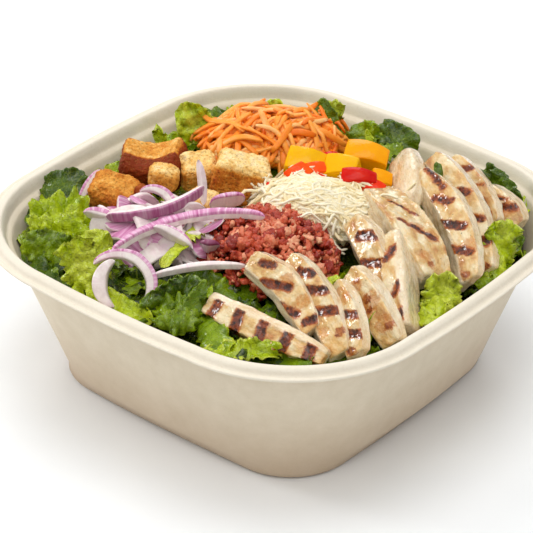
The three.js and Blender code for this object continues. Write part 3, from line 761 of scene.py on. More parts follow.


# toasted bread: open pale crumb that browns to a hard tan crust, with herb and spice specks; painted shade
# darkens its pits and sides
def toastedBread():
    material, add, shader = newMaterial("toasted seasoned bread")
    place = add("TexCoord", output="Object")
    fine = add("TexNoise", [place, 1 / (0.9 * mm), 3, 0.65])
    # how dark the bread is: toasting and crust, with painted shade on the sides
    heat = add("Attribute", output="Fac", attribute_name="toast")
    for pattern, amount in ((add("TexNoise", [place, 1 / (3.4 * mm), 3, 0.6]), 0.6), (fine, 0.5)):
        heat = add("Math", [heat, amount / 2], operation="SUBTRACT")
        heat = add("Math", [pattern, amount, heat], operation="MULTIPLY_ADD")
    colour = add("ValToRGB", [heat], stops=[(0.0, "#f9e2ae"), (0.2, "#f2cb80"), (0.4, "#e3a145"),
                                            (0.58, "#c97824"), (0.78, "#9f4a14"), (1.0, "#7c2c08")])
    pits = add("TexVoronoi", {"Vector": place, "Scale": 1 / (1.5 * mm)})
    hole = add("ValToRGB", [pits], stops=[(0.1, 0.0), (0.45, 1.0)])
    # painted shade: the crumb is browner in the middle of each pit
    shade = add("Math", [hole, -0.3, 0.3], operation="MULTIPLY_ADD")
    colour = add("Mix", [shade, colour, "#a86a30"], data_type="RGBA")
    herbs = add("Math", [add("TexNoise", [place, 1 / (1.2 * mm), 1]), 0.68], operation="GREATER_THAN")
    herbs = add("Math", [herbs, 0.4], operation="MULTIPLY")
    colour = add("Mix", [herbs, colour, "#6b6428"], data_type="RGBA")
    crumb = add("Bump", {"Height": fine, "Distance": 0.3 * mm})
    normal = add("Bump", {"Height": hole, "Distance": 0.35 * mm, "Normal": crumb})
    feed(shader, {"Base Color": colour, "Roughness": 0.7, "Normal": normal, "Specular IOR Level": 0.18})
    return material


def makeCrouton(number, values, material):
    node = f"crouton_{number}"
    axes = turning(*values["turn"])
    low, high = spanOn(node, axes)
    half = (high - low) / 2
    corners, faces = blockSurface(np.maximum(np.ceil(2 * half / croutonValues["grid"]).astype(int), 6))
    points = roundBlock(corners, half, np.minimum(values["round"], half * 0.7))
    share = points / half
    up = np.maximum(share[:, 2], 0)
    points[:, 2] -= values["dish"] * np.maximum(1 - 1.5 * share[:, 0] ** 2, 0) * up
    place = points + 91.0 * number
    points = points * (1 + croutonValues["unevenness"] * bumps(place, 11, number)[:, None])
    normals = pointNormals(points, faces)
    pores = smoothStep(layered(place, croutonValues["poreSize"], number + 9, 2), 0.1, 0.75)
    # the crumb shows on top, back from where the loaf's crust ends
    crust = values.get("crust", -2)
    topSide = smoothStep(share[:, 2], 0.55, 0.9) * smoothStep(share[:, 1], crust - 0.1, crust + 0.1)
    openness = values["pores"] * (0.45 + 0.55 * topSide)
    relief = layered(place, 2.0, number + 3, 3, 0.6) * croutonValues["crumbGrain"]
    relief = relief - pores * openness * croutonValues["pore"]
    points = points + normals * relief[:, None]
    local = fitTo(points, node, axes)
    edge = np.sort(np.abs(share), axis=1)[:, 1]
    # the sides come out darker than the top: partly toasting and crust, partly painted shade
    toast = values["side"] + (values["top"] - values["side"]) * topSide
    browned = croutonValues["edgeToast"] * smoothStep(edge, 0.72, 0.95) * (1 - 0.5 * topSide)
    toast = toast + browned - 0.1 * pores * openness
    toast = toast + croutonValues["patchyToast"] * bumps(place, 8, number + 20)
    makePiece(f"toasted_crouton_{number}", local @ axes.T, faces, material, "toasted_bread", [node],
              toast=toast)


bread = toastedBread()
for number, values in enumerate(croutonCubes, 1):
    makeCrouton(number, values, bread)
print("croutons done")

# diced bell pepper

pepperValues = {
    "grid": 0.5,            # spacing of the points
    "edge": 0.5,            # radius of the knife-cut edges
    "taper": 0.14,          # how much a piece narrows along its length
    "askew": 0.12,          # how far its ends are cut askew
    "unevenness": 0.3,
}
# turn about X, Y and Z as the frame's pieces lie; curl is twice how far the middle stands above the ends
pepperPieces = [
    {"turn": (20, 10, 36), "curl": 3, "colour": "yellow"},
    {"turn": (16, -8, 20), "curl": 3, "colour": "yellow"},
    {"turn": (14, 8, 30), "curl": 5, "colour": "amber"},
    {"turn": (24, 20, 50), "curl": 2, "colour": "amber"},
    {"turn": (30, -20, 80), "curl": 2, "colour": "orange"},
    {"turn": (18, 6, 40), "curl": 4, "colour": "red"},
    {"turn": (10, 0, 60), "curl": 2, "colour": "red"},
    {"turn": (10, 12, 40), "curl": 2, "colour": "scarlet"},
    {"turn": (0, 20, 20), "curl": 1, "colour": "scarlet"},
    {"turn": (16, 0, 60), "curl": 2, "colour": "orange"},
    {"turn": (14, 10, 20), "curl": 2, "colour": "scarlet"},
]
# skin and flesh
pepperColours = {"yellow": ("#e8aa00", "#f0ba00"), "amber": ("#ee9a00", "#f4b000"),
                 "orange": ("#f04404", "#f57418"), "red": ("#c40c08", "#e83a12"),
                 "scarlet": ("#e02406", "#f05a20")}
pepperSlots = {"yellow": "yellow_pepper", "amber": "yellow_pepper", "orange": "orange_pepper",
               "red": "red_pepper", "scarlet": "red_pepper"}


# bell pepper: waxy bright skin over wetter, paler flesh on the cut sides
def bellPepper(colour):
    skin, flesh = pepperColours[colour]
    material, add, shader = newMaterial(f"{colour} bell pepper")
    place = add("TexCoord", output="Object")
    tone = add("ValToRGB", [add("TexNoise", [place, 1 / (5 * mm), 2])], stops=[(0.35, 0.0), (0.7, 0.35)])
    outer = add("Mix", [tone, skin, flesh], data_type="RGBA")
    wet = add("TexNoise", [place, 1 / (0.8 * mm), 3, 0.6])
    juicy = add("ValToRGB", [wet], stops=[(0.4, 0.0), (0.75, 0.5)])
    inner = add("Mix", [juicy, flesh, skin], data_type="RGBA")
    side = add("Attribute", output="Fac", attribute_name="skin")
    uneven = add("Math", [wet, 0.2, -0.1], operation="MULTIPLY_ADD")
    side = add("Math", [side, uneven], operation="ADD")
    skinned = add("ValToRGB", [side], stops=[(0.4, 0.0), (0.6, 1.0)])
    base = add("Mix", [skinned, inner, outer], data_type="RGBA")
    rough = add("ValToRGB", [side], stops=[(0.4, 0.34), (0.6, 0.12)])
    soft = add("Bump", {"Height": add("TexNoise", [place, 1 / (4 * mm), 1]), "Distance": 0.35 * mm})
    normal = add("Bump", {"Height": wet, "Distance": 0.16 * mm, "Normal": soft})
    film = add("Bump", {"Height": add("TexNoise", [place, 1 / (4.5 * mm), 2]), "Distance": 0.5 * mm})
    feed(shader, {"Base Color": base, "Roughness": rough, "Normal": normal, "IOR": 1.4,
                  "Specular IOR Level": 0.05, "Coat Weight": 0.2, "Coat Roughness": 0.06,
                  "Coat Normal": film, "Subsurface Weight": 0.08, "Subsurface Radius": (1.0, 0.6, 0.2),
                  "Subsurface Scale": 1.2 * mm})
    return material


def makePepper(number, values, material):
    node = f"pepper_{number}"
    axes = turning(*values["turn"])
    low, high = spanOn(node, axes)
    half = (high - low) / 2
    curl = values["curl"] * 0.5
    half[2] = max(half[2] - curl * 0.5, 2.0)
    corners, faces = blockSurface(np.maximum(np.ceil(2 * half / pepperValues["grid"]).astype(int), 5))
    points = roundBlock(corners, half, np.minimum(pepperValues["edge"], half * 0.4))
    share = points / half
    points[:, 2] += curl * (0.6 - share[:, 0] ** 2 - 0.4 * share[:, 1] ** 2)
    points[:, 1] *= 1 - pepperValues["taper"] * share[:, 0]
    points[:, 0] += pepperValues["askew"] * points[:, 1] * math.sin(number * 2.1)
    place = points + 53.0 * number
    waves = bumps(place, 9, number) * pepperValues["unevenness"]
    points = points + pointNormals(points, faces) * waves[:, None]
    local = fitTo(points, node, axes)
    skin = smoothStep(corners[:, 2], 0.7, 0.95)
    makePiece(f"diced_pepper_{number}", local @ axes.T, faces, material, pepperSlots[values["colour"]],
              [node], skin=skin)


peppers = {colour: bellPepper(colour) for colour in pepperColours}
for number, values in enumerate(pepperPieces, 1):
    makePepper(number, values, peppers[values["colour"]])
print("peppers done")

# sliced red onion

onionValues = {
    "step": 1.1,            # spacing of the points along an arc
    "sides": 24,            # points round its section
    "square": 0.34,         # 1 is a round section, 0 a square one
    "lean": 0.12,           # how far a layer leans with the bulb's curve
    "unevenness": 0.25,
    # the loose petals: how many, their sizes, half of their arcs in degrees, how far they tilt out of the
    # heap's surface and how far the core below them is drawn in
    "petals": 34, "petalSeed": 4,
    "petalRadius": (11, 17), "petalLayer": (2.0, 3.0), "petalWidth": (8, 13),
    "petalSpread": (26, 52), "petalTilt": 0.45, "core": 3.2,
}
# radius is the bulb's at the slice, layer the flesh's thickness, width the slice's, sweep its arc in degrees;
# the skin covers what lies beyond `edge` towards `side`, in degrees from outward to upward in the section;
# warp twists the slice out of its plane and deep darkens its skin
onionSlices = [
    {"radius": 15, "layer": 5, "width": 4, "sweep": (-85, 142), "turn": (50, 0, 39), "side": 0, "edge": 0.35},
    {"radius": 10, "layer": 6, "width": 6, "sweep": (95, 265), "turn": (55, 0, 39), "side": 0, "edge": 0.95},
    {"radius": 43, "layer": 4, "width": 4, "sweep": (42, 141), "turn": (0, -7, 51), "warp": 1, "side": 90,
     "edge": 0.4},
    {"radius": 36, "layer": 4, "width": 5, "sweep": (242, 318), "turn": (5, -8, 50), "warp": 1, "side": 0,
     "edge": 0.2, "deep": 0.5},
    {"radius": 10, "layer": 4, "width": 5, "sweep": (-60, 130), "turn": (55, 0, 39), "side": 0, "edge": 0.1},
    {"radius": 31, "layer": 3, "width": 5, "sweep": (-19, 18), "turn": (70, 0, 60), "side": 0, "edge": 0.9},
    {"radius": 17, "layer": 3, "width": 8, "sweep": (62, 118), "turn": (20, 0, 58), "side": 60, "edge": 0.2},
    {"radius": 21, "layer": 4, "width": 5, "sweep": (125, 180), "turn": (58, 0, 39), "side": 0, "edge": 0.5},
    {"radius": 14, "layer": 4, "width": 8, "sweep": (42, 108), "turn": (40, 0, 39), "side": 20, "edge": 0.3},
    {"radius": 16, "layer": 4, "width": 8, "sweep": (60, 140), "turn": (40, 0, 39), "side": 0, "edge": 0.9},
    {"radius": 17, "layer": 4, "width": 7, "sweep": (25, 95), "turn": (40, 0, 39), "side": 0, "edge": 0.6},
    {"radius": 21, "layer": 5, "width": 10, "sweep": (68, 92), "turn": (40, 0, 39), "side": 45, "edge": -0.2,
     "deep": 0.9},
    {"radius": 42, "layer": 3, "width": 3, "sweep": (62, 118), "turn": (8, -4, 46), "side": 0, "edge": 0.95},
]


# red onion: crisp wet white layers, each with a magenta skin on its outside, ribbed along the bulb
def redOnion():
    material, add, shader = newMaterial("red onion")
    place = add("TexCoord", output="Object")
    around, high, piece, skinned, deep = (add("Attribute", output="Fac", attribute_name=name) for name in
                                          ("around", "high", "piece", "skin", "deep"))
    # ribs 1.25 mm apart, drawn out along the layer's height
    ribs = add("CombineXYZ", [around, add("Math", [high, 0.1], operation="MULTIPLY"), piece])
    streak = add("TexNoise", [ribs, 1 / 1.25, 3])
    skin = add("ValToRGB", [streak], stops=[(0.3, "#b75590"), (0.46, "#d086b2"), (0.6, "#e3b2ce"),
                                            (0.76, "#f5deea")])
    skin = add("Mix", [deep, skin, "#7d2150"], data_type="RGBA")
    soft = add("TexNoise", [place, 1 / (3 * mm), 3])
    flesh = add("ValToRGB", [soft], stops=[(0.3, "#e0cfcc"), (0.5, "#ede1dc"), (0.72, "#f6f0e9")])
    blush = add("TexNoise", [place, 1 / (6 * mm), 2])
    blush = add("ValToRGB", [blush], stops=[(0.45, 0.0), (0.7, 0.5)])
    between = add("ValToRGB", [streak], stops=[(0.35, 1.0), (0.65, 0.2)])
    blush = add("Math", [blush, between], operation="MULTIPLY")
    flesh = add("Mix", [blush, flesh, "#d9a9c0"], data_type="RGBA")
    uneven = add("Math", [soft, 0.2, -0.1], operation="MULTIPLY_ADD")
    out = add("Math", [skinned, uneven], operation="ADD")
    outer = add("ValToRGB", [out], stops=[(0.42, 0.0), (0.58, 0.95)])
    colour = add("Mix", [outer, flesh, skin], data_type="RGBA")
    rim = add("ValToRGB", [out], stops=[(0.3, 0.0), (0.42, 0.5), (0.54, 0.0)])
    colour = add("Mix", [rim, colour, "#a84c7c"], data_type="RGBA")
    normal = add("Bump", {"Height": streak, "Distance": 0.16 * mm})
    feed(shader, {"Base Color": colour, "Roughness": 0.28, "Normal": normal, "IOR": 1.4,
                  "Subsurface Weight": 0.06, "Subsurface Radius": (1.0, 0.8, 0.8),
                  "Subsurface Scale": 1.0 * mm})
    return material


# one arc of an onion layer, about the bulb's axis Z
def onionLayer(radius, layer, width, sweep, warp, seed, side, edge):
    first, last = np.radians(sweep)
    count = max(int(radius * (last - first) / onionValues["step"]), 8)
    share = np.linspace(0, 1, count)
    angles = first + (last - first) * share
    full = np.sin(np.pi * (0.12 + 0.76 * share))
    ends = np.sqrt(np.clip(1 - (np.abs(share * 2 - 1) ** (count / 3.0)), 0.05, 1))
    sides = onionValues["sides"]
    phase = np.arange(sides) * 2 * np.pi / sides
    square = onionValues["square"]
    radial = squaredOff(np.cos(phase), square)
    upright = squaredOff(np.sin(phase), square)
    middle = radius - layer * full / 2
    reach = middle[:, None] + (layer * full * ends / 2)[:, None] * radial[None]
    z = (width / 2 * ends)[:, None] * upright[None]
    reach = reach + z * onionValues["lean"]
    x = reach * np.cos(angles)[:, None]
    y = reach * np.sin(angles)[:, None]
    z = z + warp * (x / radius) * (y / radius)
    points = np.stack([x, y, z], -1).reshape(-1, 3)
    points = points + onionValues["unevenness"] * np.stack([bumps(points, 9, seed + i) for i in range(3)], 1)
    points = np.vstack([points, points[:sides].mean(0), points[-sides:].mean(0)])
    faces = gridFaces(count, sides, closeColumns=True)[:, ::-1]
    start = np.arange(sides)
    finish = start + (count - 1) * sides
    caps = [np.stack([np.roll(start, -1), start, np.full(sides, count * sides)], 1)[:, ::-1],
            np.stack([finish, np.roll(finish, -1), np.full(sides, count * sides + 1)], 1)[:, ::-1]]
    beyond = radial * math.cos(math.radians(side)) + upright * math.sin(math.radians(side)) - edge
    skin = np.append(np.tile(smoothStep(beyond, -0.12, 0.12), count), [0.3, 0.3])
    around = np.append(np.repeat(angles * radius, sides), [first * radius, last * radius])
    high = np.append(z.reshape(-1), [0, 0])
    fields = {"skin": skin, "around": around, "high": high, "piece": np.full(len(points), 7.0 * seed)}
    return points, [faces] + caps, fields


onion = redOnion()
for number, values in enumerate(onionSlices, 1):
    node = f"onion_slice_{number}"
    axes = turning(*values["turn"])
    points, faces, fields = onionLayer(values["radius"], values["layer"], values["width"], values["sweep"],
                                       values.get("warp", 0), number, values["side"], values["edge"])
    makePiece(f"sliced_onion_{number}", fitTo(points, node, axes) @ axes.T, faces, onion, "red_onion",
              [node], deep=np.full(len(points), values.get("deep", 0.0)), **fields)


# loose petals over a smaller core
def makeOnionPetals():
    rng = np.random.default_rng(onionValues["petalSeed"])
    heap = newHeap()
    core, faces = coreShape("onion_petals", onionValues["core"])
    addTo(heap, core, [faces], skin=0.1, around=core[:, 0], high=core[:, 2], piece=1.0, deep=0.0)
    places, normals = placesOn("onion_petals", onionValues["petals"], rng, steepest=0.0)
    for i, (place, normal) in enumerate(zip(places, normals)):
        radius, spread, layer, width = (rng.uniform(*onionValues[key]) for key in
                                        ("petalRadius", "petalSpread", "petalLayer", "petalWidth"))
        # one in three has its skin on
        edge = rng.choice([0.7, 1.1, 1.1])
        points, faces, fields = onionLayer(radius, layer, width, (90 - spread, 90 + spread), 0,
                                           60 + i, 0, edge)
        points = points - [0, radius - 1.0, 0]
        # its back faces out of the heap, tilted a good way round
        facing = unit(normal + rng.normal(0, onionValues["petalTilt"], 3))
        along = unit(np.cross(facing, rng.normal(0, 1, 3)))
        axes = np.stack([along, facing, np.cross(along, facing)], 1)
        addTo(heap, points @ axes.T + place - normal * 1.2, faces, deep=rng.choice([0, 0, 0.3]), **fields)
    makeHeap("loose_onion_petals", heap, onion, "red_onion", ["onion_petals"])


makeOnionPetals()
print("onions done")

# shredded carrot and cheese

# along and spread are the shreds' usual heading and how much it varies; curl is the steady bend in degrees
# a millimetre, wobble the swing of the heading to and fro; strays are moved outward by up to `reach`
carrotValues = {
    "count": 205, "strays": 12, "reach": 7, "seed": 12,
    "length": (14, 32), "width": (2.0, 3.1), "height": (1.4, 2.0),
    "along": 60, "spread": 75, "curl": 0.8, "wobble": 4,
    "lift": (-2.4, 3.0), "arch": 2.4, "beyond": 2, "tilt": 11,
    "sides": 8, "steps": 12, "square": 0.55,    # points round and along a shred; 1 is a round one
    "core": 4.0, "coreTone": 0.4,               # how far the heap's core is drawn in, and its colour
}
cheeseValues = {
    "count": 1000, "strays": 30, "reach": 15, "seed": 21,
    "length": (14, 34), "width": (1.2, 1.8), "height": (0.9, 1.2),
    "along": 30, "spread": 45, "curl": 3.0, "wobble": 20,
    "lift": (-1.2, 0.0), "arch": 0.8, "beyond": 0, "tilt": 0,
    "sides": 5, "steps": 13, "square": 0.8,
    # the core is more buttery than most strands: painted warm shade where it shows between them
    "core": 0.9, "coreTone": 0.2,
}


# carrot: moist orange shreds, paler where the core was cut
def freshCarrot():
    material, add, shader = newMaterial("shredded carrot")
    place = add("TexCoord", output="Object")
    tone = add("Attribute", output="Fac", attribute_name="tone")
    tone = add("Math", [tone, 0.6], operation="MULTIPLY")
    tone = add("Math", [add("TexNoise", [place, 1 / (4 * mm), 3]), 0.4, tone], operation="MULTIPLY_ADD")
    colour = add("ValToRGB", [tone], stops=[(0.2, "#f57a12"), (0.42, "#fc9024"), (0.62, "#ffa640"),
                                            (0.85, "#ffc680")])
    normal = add("Bump", {"Height": add("TexNoise", [place, 1 / (0.5 * mm), 2]), "Distance": 0.12 * mm})
    feed(shader, {"Base Color": colour, "Roughness": 0.36, "Normal": normal, "IOR": 1.4,
                  "Subsurface Weight": 0.12, "Subsurface Radius": (1.0, 0.5, 0.15),
                  "Subsurface Scale": 1.6 * mm})
    return material


# shredded white cheese: ivory strands, some more buttery, over a buttery core that shows between them as
# painted warm shade
def whiteCheese():
    material, add, shader = newMaterial("shredded white cheese")
    place = add("TexCoord", output="Object")
    tone = add("Attribute", output="Fac", attribute_name="tone")
    tone = add("Math", [tone, 0.5], operation="MULTIPLY")
    tone = add("Math", [add("TexNoise", [place, 1 / (3 * mm), 3]), 0.5, tone], operation="MULTIPLY_ADD")
    colour = add("ValToRGB", [tone], stops=[(0.2, "#f0daa4"), (0.5, "#f4e8c4"), (0.8, "#f9f3de")])
    normal = add("Bump", {"Height": add("TexNoise", [place, 1 / (0.5 * mm), 2]), "Distance": 0.08 * mm})
    feed(shader, {"Base Color": colour, "Roughness": 0.45, "Normal": normal, "IOR": 1.4,
                  "Subsurface Weight": 0.06, "Subsurface Radius": (1.0, 0.9, 0.55),
                  "Subsurface Scale": 1.0 * mm})
    return material


# shreds that lie along a heap: each walks out from its middle with a wandering heading and keeps to the
# surface, arching over small dips; `lift` is how high their middles lie, and the way that leaves the fewest
# of their points `beyond` the heap is taken; `tilt` is how steeply they rise out of it
def makeShreds(name, node, values, material, slotName):
    heap = newHeap()
    core, faces = coreShape(node, values["core"])
    addTo(heap, core, [faces], tone=values["coreTone"])
    steps = values["steps"]
    rng = np.random.default_rng(values["seed"])
    middle = nodeShape(node)[0].mean(0)
    ownTree = searchTree(node)
    places, normals = placesOn(node, values["count"], rng, steepest=-0.1)
    for i, (place, normal) in enumerate(zip(places, normals)):
        if i < values["strays"]:
            place = place + unit((place - middle) * [1, 1, 0]) * rng.uniform(0, values["reach"])
        length = rng.uniform(*values["length"])
        s = np.linspace(-0.5, 0.5, steps) * length
        fewest = steps + 1
        for _ in range(5):
            heading = values["along"] + rng.normal(0, values["spread"]) + rng.normal(0, values["curl"]) * s
            swing = np.sin(s * rng.uniform(0.3, 0.6) + rng.uniform(0, 6))
            heading = np.radians(heading + values["wobble"] * swing)
            way = np.cumsum(np.stack([np.cos(heading), np.sin(heading)], 1), axis=0) * length / steps
            way = way - way[rng.integers(2, steps - 2)] + place[:2]
            outside = sum(heightOf(ownTree, *spot) is None for spot in way)
            if outside < fewest:
                fewest, flat = outside, way
            if i < values["strays"] or fewest <= values["beyond"]:
                break
        z = np.full(steps, place[2])
        climb = 1.6    # the steepest rise or fall from point to point, outward from the middle
        for half in (range(steps // 2, steps), range(steps // 2 - 1, -1, -1)):
            last = place[2]
            for k in half:
                found = heightOf(topTree, *flat[k])
                last = float(np.clip(last - 1.0 if found is None else found, last - climb, last + climb))
                z[k] = last
        for _ in range(2):
            z[1:-1] = np.maximum(z[1:-1], (z[:-2] + z[2:]) / 2)
        arch = rng.uniform(0, values["arch"]) * (1 - (2 * s / length) ** 2)
        slope = math.tan(math.radians(rng.normal(0, values["tilt"])))
        path = np.column_stack([flat, z + rng.uniform(*values["lift"]) + arch + slope * s])
        profile = np.clip(1 - np.abs(np.linspace(-1, 1, steps)) ** 7 * 0.45, 0.5, 1)
        points, faces = sweep(path, rng.uniform(*values["width"]) * profile,
                              rng.uniform(*values["height"]) * profile, values["sides"], values["square"],
                              rng.uniform(-1.5, 1.5), normal)
        addTo(heap, keepInside(points, 0.5), faces, tone=rng.uniform(0, 1))
    makeHeap(name, heap, material, slotName, [node])


makeShreds("shredded_carrot", "carrot_shreds", carrotValues, freshCarrot(), "carrot")
makeShreds("shredded_white_cheese", "shredded_cheese", cheeseValues, whiteCheese(), "cheese")
print("carrot and cheese done")

# bacon crumbles

baconValues = {
    "seed": 31,
    "core": 5.0,            # how far the heap's core is drawn in
    # kinds of crumb: how many, their sizes, how finely they are faceted and how deep they sit
    "crumbs": [(150, (1.6, 3.3), 3, 0.9), (520, (0.9, 1.9), 2, -0.2), (200, (0.5, 0.9), 2, -0.8)],
    "squash": (0.42, 1.2),  # how flat or long a crumb is
    "broken": 0.46,         # how rough it is, as a share of its size
    "dips": 2.4,            # how far the heap sinks and rises from place to place
}


# crumbled bacon: fried lean in mahogany and brick red, with paler and golden bits of fat
def crumbledBacon():
    material, add, shader = newMaterial("crumbled bacon")
    place = add("TexCoord", output="Object")
    knotty = add("TexNoise", [place, 1 / (1.2 * mm), 4, 0.65])
    tone = add("Attribute", output="Fac", attribute_name="tone")
    tone = add("Math", [tone, 0.62, -0.11], operation="MULTIPLY_ADD")
    tone = add("Math", [knotty, 0.6, tone], operation="MULTIPLY_ADD")
    colour = add("ValToRGB", [tone], stops=[(0.08, "#6c1108"), (0.28, "#a02a15"), (0.46, "#c64a2a"),
                                            (0.62, "#df7550"), (0.78, "#efa27c"), (0.93, "#f7cfa0")])
    knots = add("Bump", {"Height": knotty, "Distance": 0.5 * mm})
    fine = add("TexNoise", [place, 1 / (0.5 * mm), 3])
    normal = add("Bump", {"Height": fine, "Distance": 0.25 * mm, "Normal": knots})
    feed(shader, {"Base Color": colour, "Roughness": 0.3, "Normal": normal,
                  "Subsurface Weight": 0.08, "Subsurface Radius": (1.0, 0.4, 0.3),
                  "Subsurface Scale": 1.0 * mm})
    return material


def makeBacon():
    rng = np.random.default_rng(baconValues["seed"])
    heap = newHeap()
    core, faces = coreShape("bacon_crumbles", baconValues["core"])
    # the core is dark lean: painted shade where it shows between the crumbs
    addTo(heap, core, [faces], tone=0.1)
    for count, size, detail, depth in baconValues["crumbs"]:
        shape, faces = ball(detail)
        # crumbs are blocky: a ball pushed out towards a cube, then broken up
        blocky = shape / np.maximum(np.max(np.abs(shape), axis=1, keepdims=True), 0.6)
        places, normals = placesOn("bacon_crumbles", count, rng, steepest=-0.1)
        sunk = baconValues["dips"] * bumps(places, 9, 3)
        for i, (place, normal) in enumerate(zip(places, normals)):
            radius = rng.uniform(*size)
            squash = rng.uniform(*baconValues["squash"], 3)
            rough = 1 + baconValues["broken"] * layered(shape * 2.0 + 17.0 * i, 1.5, i, 3, 0.7)
            points = blocky * rough[:, None] * squash * radius
            turn = turning(*rng.uniform(0, 360, 3))
            place = place - normal * (depth + sunk[i] + rng.uniform(-0.8, 0.8))
            addTo(heap, points @ turn.T + place, [faces], tone=rng.uniform(0, 1) ** 1.1)
    makeHeap("bacon_crumble_pieces", heap, crumbledBacon(), "bacon", ["bacon_crumbles"])


makeBacon()
print("bacon done")

# romaine lettuce

leafValues = {
    "grid": 1.05,           # spacing of the points on the large leaves and on the small torn ones
    "fillerGrid": 1.7,
    "thickness": 0.5,
    "ribThickness": 1.5,
    "veinSpacing": 8.5,     # between the side veins
    "fillers": 120,         # how many small torn leaves, and their lengths and widths
    "fillerLength": (18, 36),
    "fillerWidth": (14, 24),
    "fillerSeed": 8,
    "core": 4.0,            # how far the bed's core below them is drawn in
}
# curl and cup bend a leaf along and across, in degrees; square and point shape its outline, ruffle is how
# far its edge waves, frill how long the waves are, jag how ragged it is, blister the blade's relief, tone how
# light it is and paleEdge how much lighter at its edge; turn is heading, pitch and roll, and spin turns it in
# its own plane
leafDefaults = {"spin": 0, "ruffle": 1.6, "frill": 9, "curl": -20, "cup": 20, "square": 0.8, "point": 0.0,
                "blister": 0.9, "paleEdge": 0.12, "jag": 1.0}
# the ten leaves that the frame has as solids, which give their places and sizes
leafNodes = [
    {"turn": (129, 76, 0), "spin": 30, "tone": 0.82, "ruffle": 1.2, "curl": -14, "cup": 24, "point": 0.3,
     "blister": 1.1},
    {"turn": (129, 74, 0), "spin": -8, "tone": 0.86, "ruffle": 2.0, "frill": 6, "curl": 10, "cup": 30,
     "square": 0.7, "blister": 1.2},
    {"turn": (129, 66, 0), "spin": 12, "tone": 0.3, "ruffle": 0.8, "frill": 14, "curl": 6, "cup": 24,
     "square": 1.0, "point": 0.5, "blister": 0.4},
    {"turn": (20, 0, 50), "spin": -12, "tone": 0.24, "ruffle": 1.6, "frill": 13, "curl": -16,
     "square": 0.7},
    {"turn": (39, 0, 24), "tone": 0.72, "ruffle": 2.4, "frill": 12, "curl": -46, "cup": -50,
     "square": 0.5, "blister": 2.3},
    {"turn": (129, 58, 0), "spin": 16, "tone": 0.84, "ruffle": 2.8, "frill": 7, "curl": 26, "cup": -64,
     "square": 0.7, "blister": 1.4},
    {"turn": (39, 0, 52), "spin": 24, "tone": 0.24, "ruffle": 2.6, "frill": 8, "curl": -30, "cup": 30,
     "blister": 2.0, "paleEdge": 0.3, "jag": 1.6},
    {"turn": (129, 46, 0), "tone": 0.88, "ruffle": 2.8, "frill": 6, "curl": 56, "cup": -30,
     "blister": 1.5, "paleEdge": 0.3},
    {"turn": (129, 50, 0), "spin": -10, "tone": 0.76, "ruffle": 2.8, "frill": 8, "curl": 50, "cup": -36,
     "square": 0.75, "blister": 1.6},
    {"turn": (-16, -6, 44), "tone": 0.24, "ruffle": 1.8, "frill": 12, "curl": -30, "cup": 20,
     "square": 0.7, "blister": 2.0},
]
